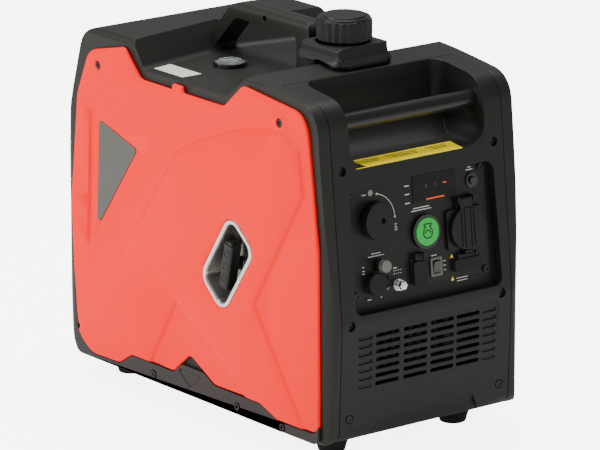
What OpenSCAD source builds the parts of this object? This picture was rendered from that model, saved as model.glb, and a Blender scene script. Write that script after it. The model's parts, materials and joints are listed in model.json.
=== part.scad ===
// Inverter generator in a sound-damping case, with its engine, alternator and control panel.
// X runs across the width, Y from the control panel (-Y) to the exhaust end (+Y), Z is up.
// The origin is on the ground, under the middle of the case.

/* [Case] */
// Overall width across the two side panels
body_w = 290; // [284:1:360]
// Overall depth, front face to rear face
body_d = 504; // [496:1:620]
// Height of the top rails above the ground
body_h = 424; // [420:1:520]
// Height of the case's lower edge above the ground
case_z = 25; // [20:1:32]
// Wall thickness of the moulded case
wall = 3; // [2:0.5:4]
// Radius of the upright case corners
corner_r = 20; // [12:1:26]
// Radius along the upper side edges of the case
top_edge_r = 9; // [4:1:14]
// Gap between neighbouring case mouldings
seam = 0.5; // [0.3:0.1:1]
// Depth of the basin below the top rails
basin_depth = 31; // [20:1:34]
// Angle at which the upper front face leans back
lean = 6; // [3:0.5:8]
// Height at which the front face starts to lean
kink_z = 164; // [160:1:175]
// Half width of the front and rear covers
cover_x = 123; // [121:1:128]

/* [Side panels] */
// Thickness of the coloured side panels
panel_t = 6; // [4:0.5:8]
// Gap between a side panel and the case side
panel_gap = 0.4; // [0.2:0.1:0.8]
// Depth of the bevelled facets on the side panels
facet_drop = 2.5; // [1:0.5:3]
// Thickness of the dark lower trims
trim_t = 4; // [3:0.5:5]

/* [Front pocket and carrying handles] */
// Width of the front pocket
pocket_w = 194; // [150:1:210]
// Height of the pocket's front lip
pocket_z = 336; // [330:1:345]
// Diameter of the front handle bar
bar_d = 20; // [14:1:24]
// Width of the top handle
handle_w = 31; // [24:1:40]
// Height of the top handle's grip above the top rails
handle_rise = 32; // [26:1:45]
// Thickness of the top handle's grip
grip_t = 18; // [14:1:22]

/* [Control panel] */
// Width of the control panel
cp_w = 200; // [196:1:206]
// Height of the control panel
cp_h = 126; // [124:1:134]
// Thickness of the control panel
cp_t = 3; // [2:0.5:4]
// Depth of the control panel behind the front face
cp_depth = 9.4; // [6:0.2:12]
// Diameter of the engine switch knob
knob_d = 43; // [34:1:46]
// Diameter of the start button
start_d = 32; // [22:1:36]
// Travel of the push buttons
button_travel = 2; // [1:0.25:2.5]
// Diameter of the mains socket's round well
socket_d = 39.5; // [37:0.5:41]
// Diameter of the earth terminal's stud
stud_d = 6; // [5:0.5:8]

/* [Vents] */
// Rows of slots in the front vent
vent_rows = 7; // [5:1:7]
// Pitch of the vent rows
vent_pitch = 9.3; // [8:0.1:9.5]
// Height of one vent slot
slot_h = 4; // [3:0.25:5]
// Width of one vent slot
slot_w = 33.5; // [25:0.5:35]

/* [Fuel] */
// Diameter of the fuel cap
cap_d = 64; // [58:1:72]
// Height of the fuel cap
cap_h = 28; // [24:1:32]
// Outer radius of the filler neck
neck_r = 24; // [20:1:26]
// Distance of the filler behind the front face
filler_back = 152; // [150:1:165]
// Wall thickness of the tank
tank_wall = 2.5; // [2:0.5:4]
// Diameter of the fuel gauge's rim
gauge_d = 40; // [34:1:44]

/* [Recoil starter] */
// Radius at which the rope leaves the pulley
rope_r = 40; // [30:1:44]
// Diameter of the rope
rope_d = 4.5; // [3:0.5:5]
// Length of the starter grip
grip_l = 62; // [50:1:64]
// Depth of the grip's recess
recess_depth = 27; // [24:1:29]

/* [Engine] */
// Cylinder bore
bore_d = 52; // [44:1:54]
// Piston stroke
stroke = 38; // [30:1:40]
// Connecting rod length between its pins
rod_l = 72; // [68:1:76]
// Diameter of the crankshaft
shaft_d = 20; // [16:1:24]
// Running clearance of shafts and pins, on the radius
run = 0.05; // [0.02:0.01:0.1]
// Outer diameter of the alternator's rotor
rotor_d = 148; // [130:1:150]

/* [Hidden] */
$fn = 48;

far = 400;
front_y = -body_d / 2;
rear_y = body_d / 2;
side_x = body_w / 2 - panel_t;
basin_z = body_h - basin_depth;
inside_x = side_x - wall;

// Outlines. A point is [x, y, radius], and points run anticlockwise.
function unit(v) = v / norm(v);
function flat(p) = [p.x, p.y];
function at(p, i) = p[(i + len(p)) % len(p)];
function corner(a, b, c, r, n) =
    let (u = unit(flat(a) - flat(b)), v = unit(flat(c) - flat(b)), half = acos(u * v) / 2,
         start = flat(b) + u * r / tan(half), end = flat(b) + v * r / tan(half),
         mid = flat(b) + unit(u + v) * r / sin(half),
         a0 = atan2(start.y - mid.y, start.x - mid.x), a1 = atan2(end.y - mid.y, end.x - mid.x),
         turn = (a1 - a0 + 540) % 360 - 180)
    [for (i = [0 : n]) mid + r * [cos(a0 + turn * i / n), sin(a0 + turn * i / n)]];
function rounded(p, n = 5) = [for (i = [0 : len(p) - 1])
    each p[i][2] > 0 ? corner(at(p, i - 1), p[i], at(p, i + 1), p[i][2], n) : [flat(p[i])]];
function left_of(v) = [-v.y, v.x];
function turn_of(a, b, c) = let (u = flat(b) - flat(a), v = flat(c) - flat(b)) u.x * v.y - u.y * v.x;
function inset_corner(a, b, c, d) =
    let (m = left_of(unit(flat(b) - flat(a))), n = left_of(unit(flat(c) - flat(b))),
         shift = (m + n) * d / (1 + m * n))
    [b.x + shift.x, b.y + shift.y,
     b[2] == 0 ? 0 : turn_of(a, b, c) > 0 ? max(b[2] - d, 0.5) : max(b[2] + d, 0.5)];
function inset(p, d) = [for (i = [0 : len(p) - 1]) inset_corner(at(p, i - 1), p[i], at(p, i + 1), d)];
function box_points(x0, y0, x1, y1, r) = [[x0, y0, r], [x1, y0, r], [x1, y1, r], [x0, y1, r]];

module plate(x0, y0, x1, y1, r, n = 5) polygon(rounded(box_points(x0, y0, x1, y1, r), n));
module along_x(x0, x1) translate([x0, 0, 0]) rotate([90, 0, 90]) linear_extrude(x1 - x0) children();
module along_y(y0, y1) translate([0, y1, 0]) rotate([90, 0, 0]) linear_extrude(y1 - y0) children();
module along_z(z0, z1) translate([0, 0, z0]) linear_extrude(z1 - z0) children();
module block(x0, y0, z0, x1, y1, z1) translate([x0, y0, z0]) cube([x1 - x0, y1 - y0, z1 - z0]);
module rod_x(x0, x1, r, y, z) translate([x0, y, z]) rotate([0, 90, 0]) cylinder(h = x1 - x0, r = r);
module rod_y(y0, y1, r, x, z) translate([x, y1, z]) rotate([90, 0, 0]) cylinder(h = y1 - y0, r = r);
module rod_z(z0, z1, r, x, y) translate([x, y, z0]) cylinder(h = z1 - z0, r = r);
module both_sides() { children(); mirror([1, 0, 0]) children(); }

// Case outline seen from the side, [y, z, radius]
notch_front_y = front_y + 186;
notch_rear_y = rear_y - 162;
shoulder_z = body_h - 16;
shoulder_y = front_y + (shoulder_z - kink_z) * tan(lean);
case_side = [
    [front_y + 5, case_z, 16], [rear_y - 16, case_z, 22], [rear_y, 150, 60], [rear_y - 2, 235, 80],
    [rear_y - 13, body_h - 100, 50], [rear_y - 42, body_h, 34], [notch_rear_y + 22, body_h, 8],
    [notch_rear_y, basin_z, 12], [notch_front_y, basin_z, 16], [notch_front_y - 37, body_h, 14],
    [shoulder_y, shoulder_z, 34], [front_y, kink_z, 40]];
// Case outlines seen from above, [x, y, radius], and from the front, [x, z, radius]
case_plan = box_points(-side_x, front_y - 1, side_x, rear_y + 1, corner_r);
low_edge_r = 8;
case_front = [[-side_x, case_z - 1, low_edge_r], [side_x, case_z - 1, low_edge_r],
              [side_x, body_h + 1, top_edge_r], [-side_x, body_h + 1, top_edge_r]];

// The basin's rear wall runs back towards the middle of the case
basin_skew = 10.6;
basin_cut = [
    [notch_front_y + 60, basin_z, 0], [notch_rear_y, basin_z, 12], [notch_rear_y + 22, body_h, 0],
    [notch_rear_y + 44, body_h + basin_depth, 0], [notch_front_y + 60, body_h + basin_depth, 0]];
module basin_wing(d) intersection() {
    translate([-side_x, 0, 0]) rotate([0, 0, basin_skew]) along_x(-20, far)
        polygon(rounded(inset(basin_cut, -d)));
    block(-far, -far, 0, 0.01, far, far + body_h);
}
module case_solid(d = 0) difference() {
    intersection() {
        along_x(-far, far) polygon(rounded(inset(case_side, d)));
        along_z(-10, far + body_h) polygon(rounded(inset(case_plan, d)));
        along_y(-far, far) polygon(rounded(inset(case_front, d)));
    }
    basin_wing(d);
    mirror([1, 0, 0]) basin_wing(d);
}

// Frames on the leaning front face. Local z points out of the face and local y up along it.
module on_face(x, s, depth = 0)
    translate([0, front_y, kink_z]) rotate([-lean, 0, 0]) translate([x, depth, s]) rotate([90, 0, 0])
        children();
module on_panel(x, s) on_face(x, s, cp_depth) children();

// Where things sit on the control panel, [x, height up the face]
cp_low = 24.5;
knob_at = [-61, cp_low + 85];
display_at = [26, cp_low + 110.5];
reset_at = [80, cp_low + 108];
start_at = [9, cp_low + 61];
socket_at = [65, cp_low + 56];
breaker_at = [-59, cp_low + 34];
dc_at = [-68, cp_low + 14.5];
earth_at = [-34, cp_low + 7.5];
usb_at = [-5, cp_low + 20];
eco_at = [22, cp_low + 18.5];
parallel_at = [65, cp_low + 17];
cp_screw_x = 93.2;
cp_screw_s = [cp_low + 3.8, cp_low + cp_h - 5];

// Screws that hold the case together
cover_screw_x = 108.8;
front_low_screws = [53.8, 162];
front_high_screw_s = (335.7 - kink_z) / cos(lean);
screw_r = 2;
screw_head_r = 4.2;
screw_well_r = 5.2;
well_depth = 6;
boss_r = 7.5;
boss_depth = 9;
side_screws = [[rear_y - 77, body_h - 41], [front_y + 86, body_h - 41]];
trim_screws = [[rear_y - 180, 35], [front_y + 165, 35], [front_y + 82, 32]];

// Side panel outline, [y, z, radius]
panel_side = [
    [front_y + 17, 39, 12], [front_y + 90, 38.5, 8], [front_y + 122, 50, 14], [front_y + 207, 50, 12],
    [2, 75, 10], [rear_y - 219, 48, 12], [rear_y - 138, 48, 12], [rear_y - 114, 33, 10],
    [rear_y - 60, 32, 30], [rear_y - 28, 52, 40], [rear_y - 20, 210, 60], [rear_y - 34, body_h - 82, 40],
    [rear_y - 58, body_h - 26, 26], [notch_rear_y + 35, body_h - 10, 10],
    [notch_rear_y + 3, basin_z - 11, 14], [notch_front_y + 4, basin_z - 12, 14],
    [notch_front_y - 32, body_h - 12, 14], [front_y + 40, body_h - 24, 28],
    [front_y + 19, kink_z + 90, 60]];
tab_y = [8, 33];

// Recoil recess, a rounded diamond [y, z, radius]
recess_y = -70;
recess_z = 200;
diamond = [[recess_y - 52, recess_z + 24, 18], [recess_y + 7, recess_z - 63, 18],
           [recess_y + 51, recess_z - 24, 18], [recess_y - 6, recess_z + 62, 18]];
recoil_y = -65;
recoil_z = 196;
frame_w = 5;
grip_tilt = 102;
grip_x = -body_w / 2 + 2.5;

// Engine layout
crank_x = 20;
crank_z = recoil_z - rope_r;
case_y = [-8, 78];
rod_y_mid = 38;
throw = stroke / 2;
pin_x = crank_x - throw - rod_l;
crown_x = pin_x - 15;
head_x = crown_x - 2;
head_t = 20;
cavity_r = 46;
rotor_y = [-50, -14];

// Tank and filler
filler_y = front_y + filler_back;
tank_top = basin_z - wall - 5;
tank_low = tank_top - 92;
tank_x = 100;
tank_y = [filler_y - 32, rear_y - 62];
collar_z = body_h + 20;
cap_z = collar_z + 2;
neck_top = cap_z + cap_h - 9;
gauge_at = [-48, 49];
gauge_barrel_r = 15;
fit_gap = 0.3;

// Zones that belong to the front and rear covers
pocket_back_y = front_y + 107;
module front_zone(g = 0) {
    block(-cover_x + g, -far, -10, cover_x - g, front_y + 60 - g, far + body_h);
    block(-cover_x + g, -far, pocket_z - wall - 6 + g, cover_x - g, pocket_back_y - g, far + body_h);
}
module rear_zone(g = 0) block(-cover_x + g, rear_y - 48 + g, -10, cover_x - g, far, far + body_h);

module front_screws() {
    for (x = [-cover_screw_x, cover_screw_x]) {
        for (z = front_low_screws) translate([x, front_y, z]) rotate([90, 0, 0]) children();
        on_face(x, front_high_screw_s) children();
    }
}
module rear_screws() for (x = [-cover_screw_x, cover_screw_x], z = [60, 175, 300])
    translate([x, rear_y - (z > 250 ? 10 : z < 100 ? 9.5 : 0), z]) rotate([-90, 0, 0]) children();
module side_screw_spots() for (p = side_screws)
    translate([-body_w / 2, p.x, p.y]) rotate([0, -90, 0]) children();
module trim_screw_spots() for (p = trim_screws)
    translate([-side_x - panel_gap - trim_t, p.x, p.y]) rotate([0, -90, 0]) children();
module cp_screw_spots() for (x = [-cp_screw_x, cp_screw_x], s = cp_screw_s)
    on_panel(x, s) children();

// Top handle, seen from the side
handle_top = body_h + handle_rise;
handle_side = [
    [notch_rear_y + 50, basin_z + 6, 4], [notch_rear_y - 2, handle_top, 26],
    [notch_front_y + 10, handle_top, 14],
    [notch_front_y + 10, basin_z - 2, 4], [notch_front_y + 34, basin_z - 2, 6],
    [notch_front_y + 34, handle_top - grip_t, 10], [notch_rear_y - 8, handle_top - grip_t, 16],
    [notch_rear_y + 30, basin_z + 6, 4]];
handle_screws = [
    [notch_rear_y + 35, body_h - 1], [notch_front_y + 93, handle_top - 9],
    [notch_front_y + 25, basin_z + 21]];

// Tabs behind the front and rear covers that take their screws
tab_t = 5;
tab_reach = inside_x + 1 - cover_screw_x;
module screw_tab()
    translate([-tab_reach, -7, -boss_depth - fit_gap - tab_t]) cube([tab_reach + 7, 14, tab_t]);
module half_shell() {
    shell_body();
    difference() {
        intersection() {
            case_solid(wall / 2);
            block(-far, -far, 0, 0, far, far);
            union() {
                front_screws() screw_tab();
                rear_screws() screw_tab();
            }
        }
        front_screws() translate([0, 0, -40]) cylinder(h = 60, r = screw_r + fit_gap / 2);
        rear_screws() translate([0, 0, -40]) cylinder(h = 60, r = screw_r + fit_gap / 2);
    }
}
module shell_body() {
    difference() {
        union() {
            difference() {
                case_solid();
                case_solid(wall);
            }
            difference() {
                intersection() {
                    along_x(-handle_w / 2, 0) polygon(rounded(handle_side));
                    along_y(-far, far) plate(-handle_w / 2, 0, handle_w / 2, handle_top, 9);
                }
                case_solid(wall / 2);
            }
        }
        front_zone();
        rear_zone();
        block(-seam / 2, -far, -10, far, far, far + body_h);
        block(-inside_x + 8, -far, -10, far, far, case_z + wall + 1);
        rod_z(0, far + body_h, neck_r + 8, 0, filler_y);
        for (p = side_screws) rod_x(-far, 0, screw_r + fit_gap, p.x, p.y);
        for (p = trim_screws) rod_x(-far, -inside_x + 6, screw_r + fit_gap, p.x, p.y);
        for (p = handle_screws) rod_x(-handle_w / 2 - 1, -handle_w / 2 + 6, 3.2, p.x, p.y);
    }
}
module left_shell() color("#33332f") difference() {
    half_shell();
    along_x(-far, -inside_x + 5) polygon(rounded(inset(diamond, -1)));
    rod_z(0, far + body_h, gauge_barrel_r + 2 + fit_gap, gauge_at.x, gauge_at.y);
}
module right_shell() color("#33332f") mirror([1, 0, 0]) half_shell();

function pocket_side(g) = [
    [front_y - 60, pocket_z - g, 0], [pocket_back_y - 4 + g, pocket_z - g, 48 + g],
    [pocket_back_y - 1 + g, body_h + 60, 0], [front_y - 60, body_h + 60, 0]];
module pocket_space(g) intersection() {
    along_x(-far, far) polygon(rounded(pocket_side(g), 8));
    along_y(-far, 0)
        plate(-pocket_w / 2 - g, pocket_z - g, pocket_w / 2 + g, body_h + far, 24 + g);
    along_z(0, body_h + far)
        plate(-pocket_w / 2 - g, -far, pocket_w / 2 + g, pocket_back_y - 1 + g, 20 + g);
}
vent_top = 145;
slot_x = [-56, -16, 23, 60.5];
groove_x = [-88, 91];
groove_w = 20;
module slot_rows(at_x, w) for (row = [0 : vent_rows - 1], x = at_x)
    translate([x - w / 2, vent_top - row * vent_pitch - slot_h / 2])
        plate(0, 0, w, slot_h, slot_h / 2 - 0.1, 3);

// The finger cut-out under the front cover, closed behind by a sloping wall
cutout = [[-84, case_z - 5, 0], [84, case_z - 5, 0], [66, 55, 10], [-66, 55, 10]];
module finger_space() intersection() {
    along_y(front_y - 5, front_y + 9) polygon(rounded(cutout));
    along_x(-far, far)
        polygon([[front_y - 1, 0], [front_y + 9, 0], [front_y + 9, 40], [front_y - 1, 58]]);
}

window_x = cp_w / 2 - 12.5;
bezel_top = cp_low + cp_h + 1.5;
bezel = [[-102, 8, 10], [110, 8, 10], [106, bezel_top, 12], [-cp_w / 2 - 1, bezel_top, 12]];
module front_cover() color("#2d2d29") difference() {
    union() {
        intersection() {
            difference() {
                case_solid();
                case_solid(wall);
            }
            front_zone(seam);
        }
        intersection() {
            case_solid();
            front_zone(seam);
            union() {
                difference() {
                    pocket_space(wall);
                    pocket_space(0);
                }
                on_face(0, 0, cp_depth + cp_t + wall) linear_extrude(cp_depth + cp_t + wall)
                    polygon(rounded(inset(bezel, -wall)));
                along_y(front_y, front_y + wall + 2.5) plate(-104, 76, 108, 160, 9);
                block(-86, front_y + 1, 0, 86, front_y + 12, 60);
                front_screws() translate([0, 0, -boss_depth]) cylinder(h = boss_depth, r = boss_r);
            }
        }
    }
    pocket_space(0);
    on_face(0, 0, cp_depth + cp_t + 0.1) linear_extrude(cp_depth + cp_t + 1) polygon(rounded(bezel));
    on_face(0, 0, 30) linear_extrude(31)
        plate(-window_x, cp_low + 1, window_x, cp_low + cp_h - 1, 6);
    along_y(front_y - 1, front_y + 2) plate(-100, 80, 104, 156, 9);
    along_y(front_y - 1, front_y + 10) slot_rows(slot_x, slot_w);
    along_y(front_y - 1, front_y + 4) slot_rows(groove_x, groove_w);
    finger_space();
    block(-far, front_y + 12, -10, far, far, case_z + wall + 1);
    front_screws() {
        translate([0, 0, -well_depth]) cylinder(h = 20, r = screw_well_r);
        translate([0, 0, -20]) cylinder(h = 30, r = screw_r + fit_gap);
    }
    cp_screw_spots() translate([0, 0, -30]) cylinder(h = 31, r = screw_r + fit_gap);
}

outlet_at = [45, 120];
outlet_r = 19;
module rear_cover() color("#2d2d29") difference() {
    intersection() {
        union() {
            difference() {
                case_solid();
                case_solid(wall);
            }
            intersection() {
                case_solid();
                rear_screws() translate([0, 0, -boss_depth]) cylinder(h = boss_depth, r = boss_r);
            }
        }
        rear_zone(seam);
    }
    along_y(rear_y - 30, far) for (row = [0 : 8], x = [-70, -28, 14])
        plate(x - 19, 196 + row * 10, x + 19, 201 + row * 10, 2.4, 3);
    rod_y(rear_y - 30, far, outlet_r + 4, outlet_at.x, outlet_at.y);
    block(-far, 0, -10, far, rear_y - 12, case_z + wall + 1);
    rear_screws() {
        translate([0, 0, -well_depth]) cylinder(h = 30, r = screw_well_r);
        translate([0, 0, -20]) cylinder(h = 50, r = screw_r + fit_gap);
    }
}

pan_x = inside_x - 1;
pan_front_y = front_y + 15;
pan_rear_y = rear_y - 31;
pan_z = case_z + wall + 1.4;
pan_t = 3;
foot_x = 88.6;
foot_y = body_d / 2 - 61.4;
mount_spots = [[-45, case_y[0] + 12], [-45, case_y[1] - 12], [75, case_y[0] + 12], [75, case_y[1] - 12]];
mount_h = 26;
module base_pan() color("#3a3a38") difference() {
    union() {
        along_z(pan_z, pan_z + pan_t) plate(-pan_x, pan_front_y, pan_x, pan_rear_y, corner_r - wall);
        along_z(pan_z, pan_z + 12) difference() {
            plate(-pan_x, pan_front_y, pan_x, pan_rear_y, corner_r - wall);
            plate(-pan_x + 2.5, pan_front_y + 2.5, pan_x - 2.5, pan_rear_y - 2.5, corner_r - wall - 2);
        }
    }
    for (x = [-foot_x, foot_x], y = [-foot_y, foot_y]) rod_z(0, 60, 4, x, y);
    for (p = mount_spots) rod_z(0, 60, 3.5, p.x, p.y);
    for (p = trim_screws) both_sides() rod_x(-far, 0, screw_r + 1, p.x, p.y);
}
foot_head_r = 6.5;
module over_feet() for (x = [-foot_x, foot_x])
    rod_z(0, pan_z + pan_t + 5, foot_head_r + 2, x, -foot_y);
module rubber_feet() color("#232321") for (x = [-foot_x, foot_x], y = [-foot_y, foot_y])
    translate([x, y, 0]) {
        cylinder(h = case_z - 4, r1 = 15, r2 = 21);
        translate([0, 0, case_z - 4]) cylinder(h = pan_z - case_z + 4 - 0.1, r = 21);
        translate([0, 0, pan_z - 1]) cylinder(h = pan_t + 1.2, r = 4 - run);
        translate([0, 0, pan_z + pan_t + 0.2]) cylinder(h = 2.5, r = foot_head_r);
    }

// One side panel, with facets that fall away from its raised middle field
module facet(y, z, angle, slope)
    translate([-body_w / 2, y, z]) rotate([angle, 0, 0]) rotate([0, 0, -slope])
        translate([-60, 0, -far]) cube([60, far, 2 * far]);
tab_low = basin_z - 24;
tab_top = basin_z - 4;
latch_tab = [[tab_y[0], tab_low, 0], [tab_y[1], tab_low, 0], [tab_y[1], tab_top, 3],
             [tab_y[0] + 6, tab_top, 3]];
module side_panel() difference() {
    union() {
        along_x(-body_w / 2, -side_x - panel_gap) polygon(rounded(panel_side));
        along_x(-body_w / 2 + 1.5, -side_x - panel_gap) polygon(rounded(latch_tab));
    }
    facet(rear_y - 62, body_h / 2, 0, 3.5);
    facet(front_y + 62, body_h / 2, 180, 3.5);
    facet(0, 92, -90, 3);
    facet(0, body_h - 72, 90, 3);
    side_screw_spots() {
        translate([0, 0, -3.8]) cylinder(h = 10, r = screw_well_r);
        translate([0, 0, -20]) cylinder(h = 30, r = screw_r + fit_gap);
    }
}
module left_side_panel() color("#f2544d") difference() {
    side_panel();
    along_x(-far, 0) polygon(rounded(diamond));
}
module right_side_panel() color("#f2544d") mirror([1, 0, 0]) side_panel();

module lower_trims() color("#2b2b28") both_sides() difference() {
    along_x(-side_x - panel_gap - trim_t, -side_x - panel_gap)
        polygon(rounded([[front_y + 17, case_z + 1, 10], [rear_y - 24, case_z + 1, 14],
                         [rear_y - 24, 60, 4], [front_y + 17, 60, 4]]));
    along_x(-far, 0) polygon(rounded(inset(panel_side, -0.6)));
    along_x(-far, 0) polygon(rounded([[-20, 54, 2], [2, 36, 3], [26, 54, 2]]));
    trim_screw_spots() {
        translate([0, 0, -1.8]) cylinder(h = 10, r = screw_well_r);
        translate([0, 0, -20]) cylinder(h = 30, r = screw_r + fit_gap);
    }
}

module screw(shank) {
    difference() {
        cylinder(h = 2.2, r = screw_head_r);
        translate([0, 0, 1]) cylinder(h = 2, r = 2.2, $fn = 6);
    }
    translate([0, 0, -shank]) cylinder(h = shank, r = screw_r);
}
module fasteners() color("#161616") {
    front_screws() translate([0, 0, -well_depth + 0.1]) screw(10);
    rear_screws() translate([0, 0, -well_depth + 0.1]) screw(10);
    both_sides() side_screw_spots() translate([0, 0, -3.7]) screw(11);
    both_sides() trim_screw_spots() translate([0, 0, -1.7]) screw(11);
    cp_screw_spots() translate([0, 0, 0.1]) screw(8);
}

bar_y = front_y + 45;
bar_z = body_h - 41;
module front_handle_bar() color("#1c1c1a") {
    rod_x(-pocket_w / 2 + 0.2, pocket_w / 2 - 0.2, bar_d / 2, bar_y, bar_z);
}

module panel_holes() {
    on_panel(knob_at.x, knob_at.y) cylinder(h = 20, r = 9, center = true);
    on_panel(display_at.x, display_at.y) cube([58, 26, 20], center = true);
    on_panel(reset_at.x, reset_at.y) cylinder(h = 20, r = 6, center = true);
    on_panel(start_at.x, start_at.y) cylinder(h = 20, r = start_d / 2 - 1, center = true);
    on_panel(socket_at.x, socket_at.y) cylinder(h = 20, r = socket_d / 2 + 2, center = true);
    on_panel(breaker_at.x, breaker_at.y) cylinder(h = 20, r = 5, center = true);
    on_panel(dc_at.x, dc_at.y) cylinder(h = 20, r = 9, center = true);
    on_panel(earth_at.x, earth_at.y) cylinder(h = 20, r = stud_d / 2 + run + 1, center = true);
    on_panel(usb_at.x, usb_at.y) cube([16, 20, 20], center = true);
    on_panel(eco_at.x, eco_at.y) cube([13, 18, 20], center = true);
    on_panel(parallel_at.x, parallel_at.y) cube([38, 13, 20], center = true);
    cp_screw_spots() cylinder(h = 20, r = screw_r + fit_gap, center = true);
}
module control_panel() color("#34342f") difference() {
    on_panel(0, 0) translate([0, 0, -cp_t]) linear_extrude(cp_t)
        plate(-cp_w / 2, cp_low, cp_w / 2, cp_low + cp_h, 9);
    panel_holes();
}

knob_lift = 0.3;
module engine_switch_knob() color("#2a2a27") on_panel(knob_at.x, knob_at.y) {
    translate([0, 0, knob_lift]) difference() {
        cylinder(h = 13, r = knob_d / 2);
        translate([-2, -far, 6]) cube([far, 2 * far, far]);
        translate([8, -1, 2]) cylinder(h = 20, r = 3);
    }
    translate([0, 0, -20]) cylinder(h = 20.5, r = 5);
}
module fuel_valve() color("#b9b9b4") on_panel(knob_at.x, knob_at.y) difference() {
    union() {
        translate([0, 0, -cp_t - 18]) cylinder(h = 17.8, r = 15);
        translate([-8, -26, -cp_t - 16]) cube([16, 26, 12]);
        translate([0, 0, -cp_t - 0.3]) cylinder(h = cp_t, r = 8.6);
    }
    translate([0, 0, -20 - 0.2]) cylinder(h = 40, r = 5 + run);
}
module display_module() color("#15151a") on_panel(display_at.x, display_at.y) {
    translate([-31, -15, 0.05]) cube([62, 30, 0.9]);
    translate([-28.7, -12.7, -cp_t - 12]) cube([57.4, 25.4, 12 + cp_t + 0.5]);
}

ring_t = 5;
module start_button_ring() color("#151515") on_panel(start_at.x, start_at.y) difference() {
    union() {
        translate([0, 0, 0.05]) cylinder(h = ring_t, r = start_d / 2 + 3.5);
        translate([0, 0, -cp_t - 16]) cylinder(h = 16 + cp_t + 0.5, r = start_d / 2 - 1.3);
    }
    translate([0, 0, 1]) cylinder(h = 20, r = start_d / 2 + 0.25);
    translate([0, 0, -12]) cylinder(h = 20, r = start_d / 2 - 4);
}
module start_button() color("#2fb457") on_panel(start_at.x, start_at.y) {
    translate([0, 0, 1.2 + button_travel]) cylinder(h = ring_t - 0.2 - button_travel, r = start_d / 2);
    translate([0, 0, -8]) cylinder(h = 9.5 + button_travel, r = start_d / 2 - 4.3);
}
module ac_reset_body() color("#1b1b1b") on_panel(reset_at.x, reset_at.y) difference() {
    union() {
        translate([0, 0, 0.05]) cylinder(h = 2, r = 8.5);
        translate([0, 0, -cp_t - 14]) cylinder(h = 14 + cp_t + 0.5, r = 5.8);
    }
    translate([0, 0, -10]) cylinder(h = 20, r = 4.6);
}
module ac_reset_button() color("#111111") on_panel(reset_at.x, reset_at.y) translate([0, 0, -6])
    cylinder(h = 11, r = 4.4);

flap_r = 27;
flap_hinge = [0, 33];
module ac_socket() color("#1f1f1d") on_panel(socket_at.x, socket_at.y) difference() {
    union() {
        translate([0, 0, 0.05]) linear_extrude(4) plate(-26.5, -23, 26.5, 23, 5);
        translate([0, 0, -cp_t - 20]) cylinder(h = 20 + cp_t + 2, r = socket_d / 2 + 1.8);
        for (x = [-12, 9.5]) translate([x, flap_hinge.y - 4, 0.05]) cube([2.5, 8, 9]);
        translate([-12, 22, 0.05]) cube([24, 8.5, 4]);
        translate([-6, -27.5, 0.05]) cube([12, 6, 9]);
    }
    translate([0, 0, -12]) cylinder(h = 30, r = socket_d / 2);
    for (x = [-9.5, 9.5]) translate([x, 0, -20]) cylinder(h = 20, r = 2.5);
    translate([-20, flap_hinge.y, 6]) rotate([0, 90, 0]) cylinder(h = 40, r = 1.5 + run);
    translate([-7, -24.8, 4.2]) cube([14, 3.4, 8]);
}
module ac_socket_flap() color("#232321") on_panel(socket_at.x, socket_at.y) difference() {
    union() {
        translate([0, 0, 4.4]) cylinder(h = 5.5, r = flap_r - 3);
        translate([-9, 15, 4.4]) cube([18, flap_hinge.y - 15, 4]);
        translate([-9, flap_hinge.y, 6]) rotate([0, 90, 0]) cylinder(h = 18, r = 2.4);
        translate([-12.2, flap_hinge.y, 6]) rotate([0, 90, 0]) cylinder(h = 24.4, r = 1.5);
    }
    translate([0, 0, 4]) cylinder(h = 4, r = socket_d / 2 - 1);
}

module dc_breaker() color("#1d1d1d") on_panel(breaker_at.x, breaker_at.y) difference() {
    union() {
        translate([0, 0, 0.05]) cylinder(h = 5, r = 8);
        translate([0, 0, -cp_t - 14]) cylinder(h = 14 + cp_t + 0.5, r = 4.8);
    }
    translate([0, 0, -10]) cylinder(h = 20, r = 3.2);
}
module dc_breaker_button() color("#d8d8d4") on_panel(breaker_at.x, breaker_at.y) {
    translate([0, 0, -6]) cylinder(h = 10, r = 3);
    translate([0, 0, 5.2 + button_travel]) cylinder(h = 8, r = 7);
    translate([0, 0, 3]) cylinder(h = 4 + button_travel, r = 3);
}
cap_hinge = [16.5, 0];
module dc_socket() color("#1d1d1d") on_panel(dc_at.x, dc_at.y) difference() {
    union() {
        translate([0, 0, 0.05]) cylinder(h = 4, r = 12);
        translate([0, 0, -cp_t - 18]) cylinder(h = 18 + cp_t + 0.5, r = 8.7);
        translate([9, -6, 0.05]) cube([9.2, 12, 3.6]);
        for (y = [-6, 3.5]) translate([14.8, y, 0.05]) cube([3.4, 2.5, 8.1]);
    }
    translate([0, 0, -14]) cylinder(h = 30, r = 7.5);
    translate([cap_hinge.x, -10, 6]) rotate([-90, 0, 0]) cylinder(h = 20, r = 1.2 + run);
}
module dc_socket_cap() color("#232321") on_panel(dc_at.x, dc_at.y) {
    translate([0, 0, 4.4]) cylinder(h = 6, r = 13);
    translate([8, -3.2, 4.4]) cube([cap_hinge.x - 8, 6.4, 3]);
    translate([cap_hinge.x, -3.2, 6]) rotate([-90, 0, 0]) cylinder(h = 6.4, r = 2);
    translate([cap_hinge.x, -5.8, 6]) rotate([-90, 0, 0]) cylinder(h = 11.6, r = 1.2);
}
stud_out = 12.5;
module ground_terminal() color("#c9c9c4") on_panel(earth_at.x, earth_at.y) {
    translate([0, 0, -16]) cylinder(h = 16 + stud_out, r = stud_d / 2);
    translate([0, 0, 0.1]) cylinder(h = 1.4, r = 6.8);
    translate([0, 0, 1.5]) cylinder(h = 4, r = 5.3, $fn = 6);
    translate([0, 0, 5.5]) cylinder(h = 1.2, r = 6.2);
    translate([0, 0, 6.7]) cylinder(h = 5, r = 5.3, $fn = 6);
    translate([0, 0, -cp_t - 4.2]) cylinder(h = 4, r = 5.8, $fn = 6);
}
usb_hinge_y = 16;
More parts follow.
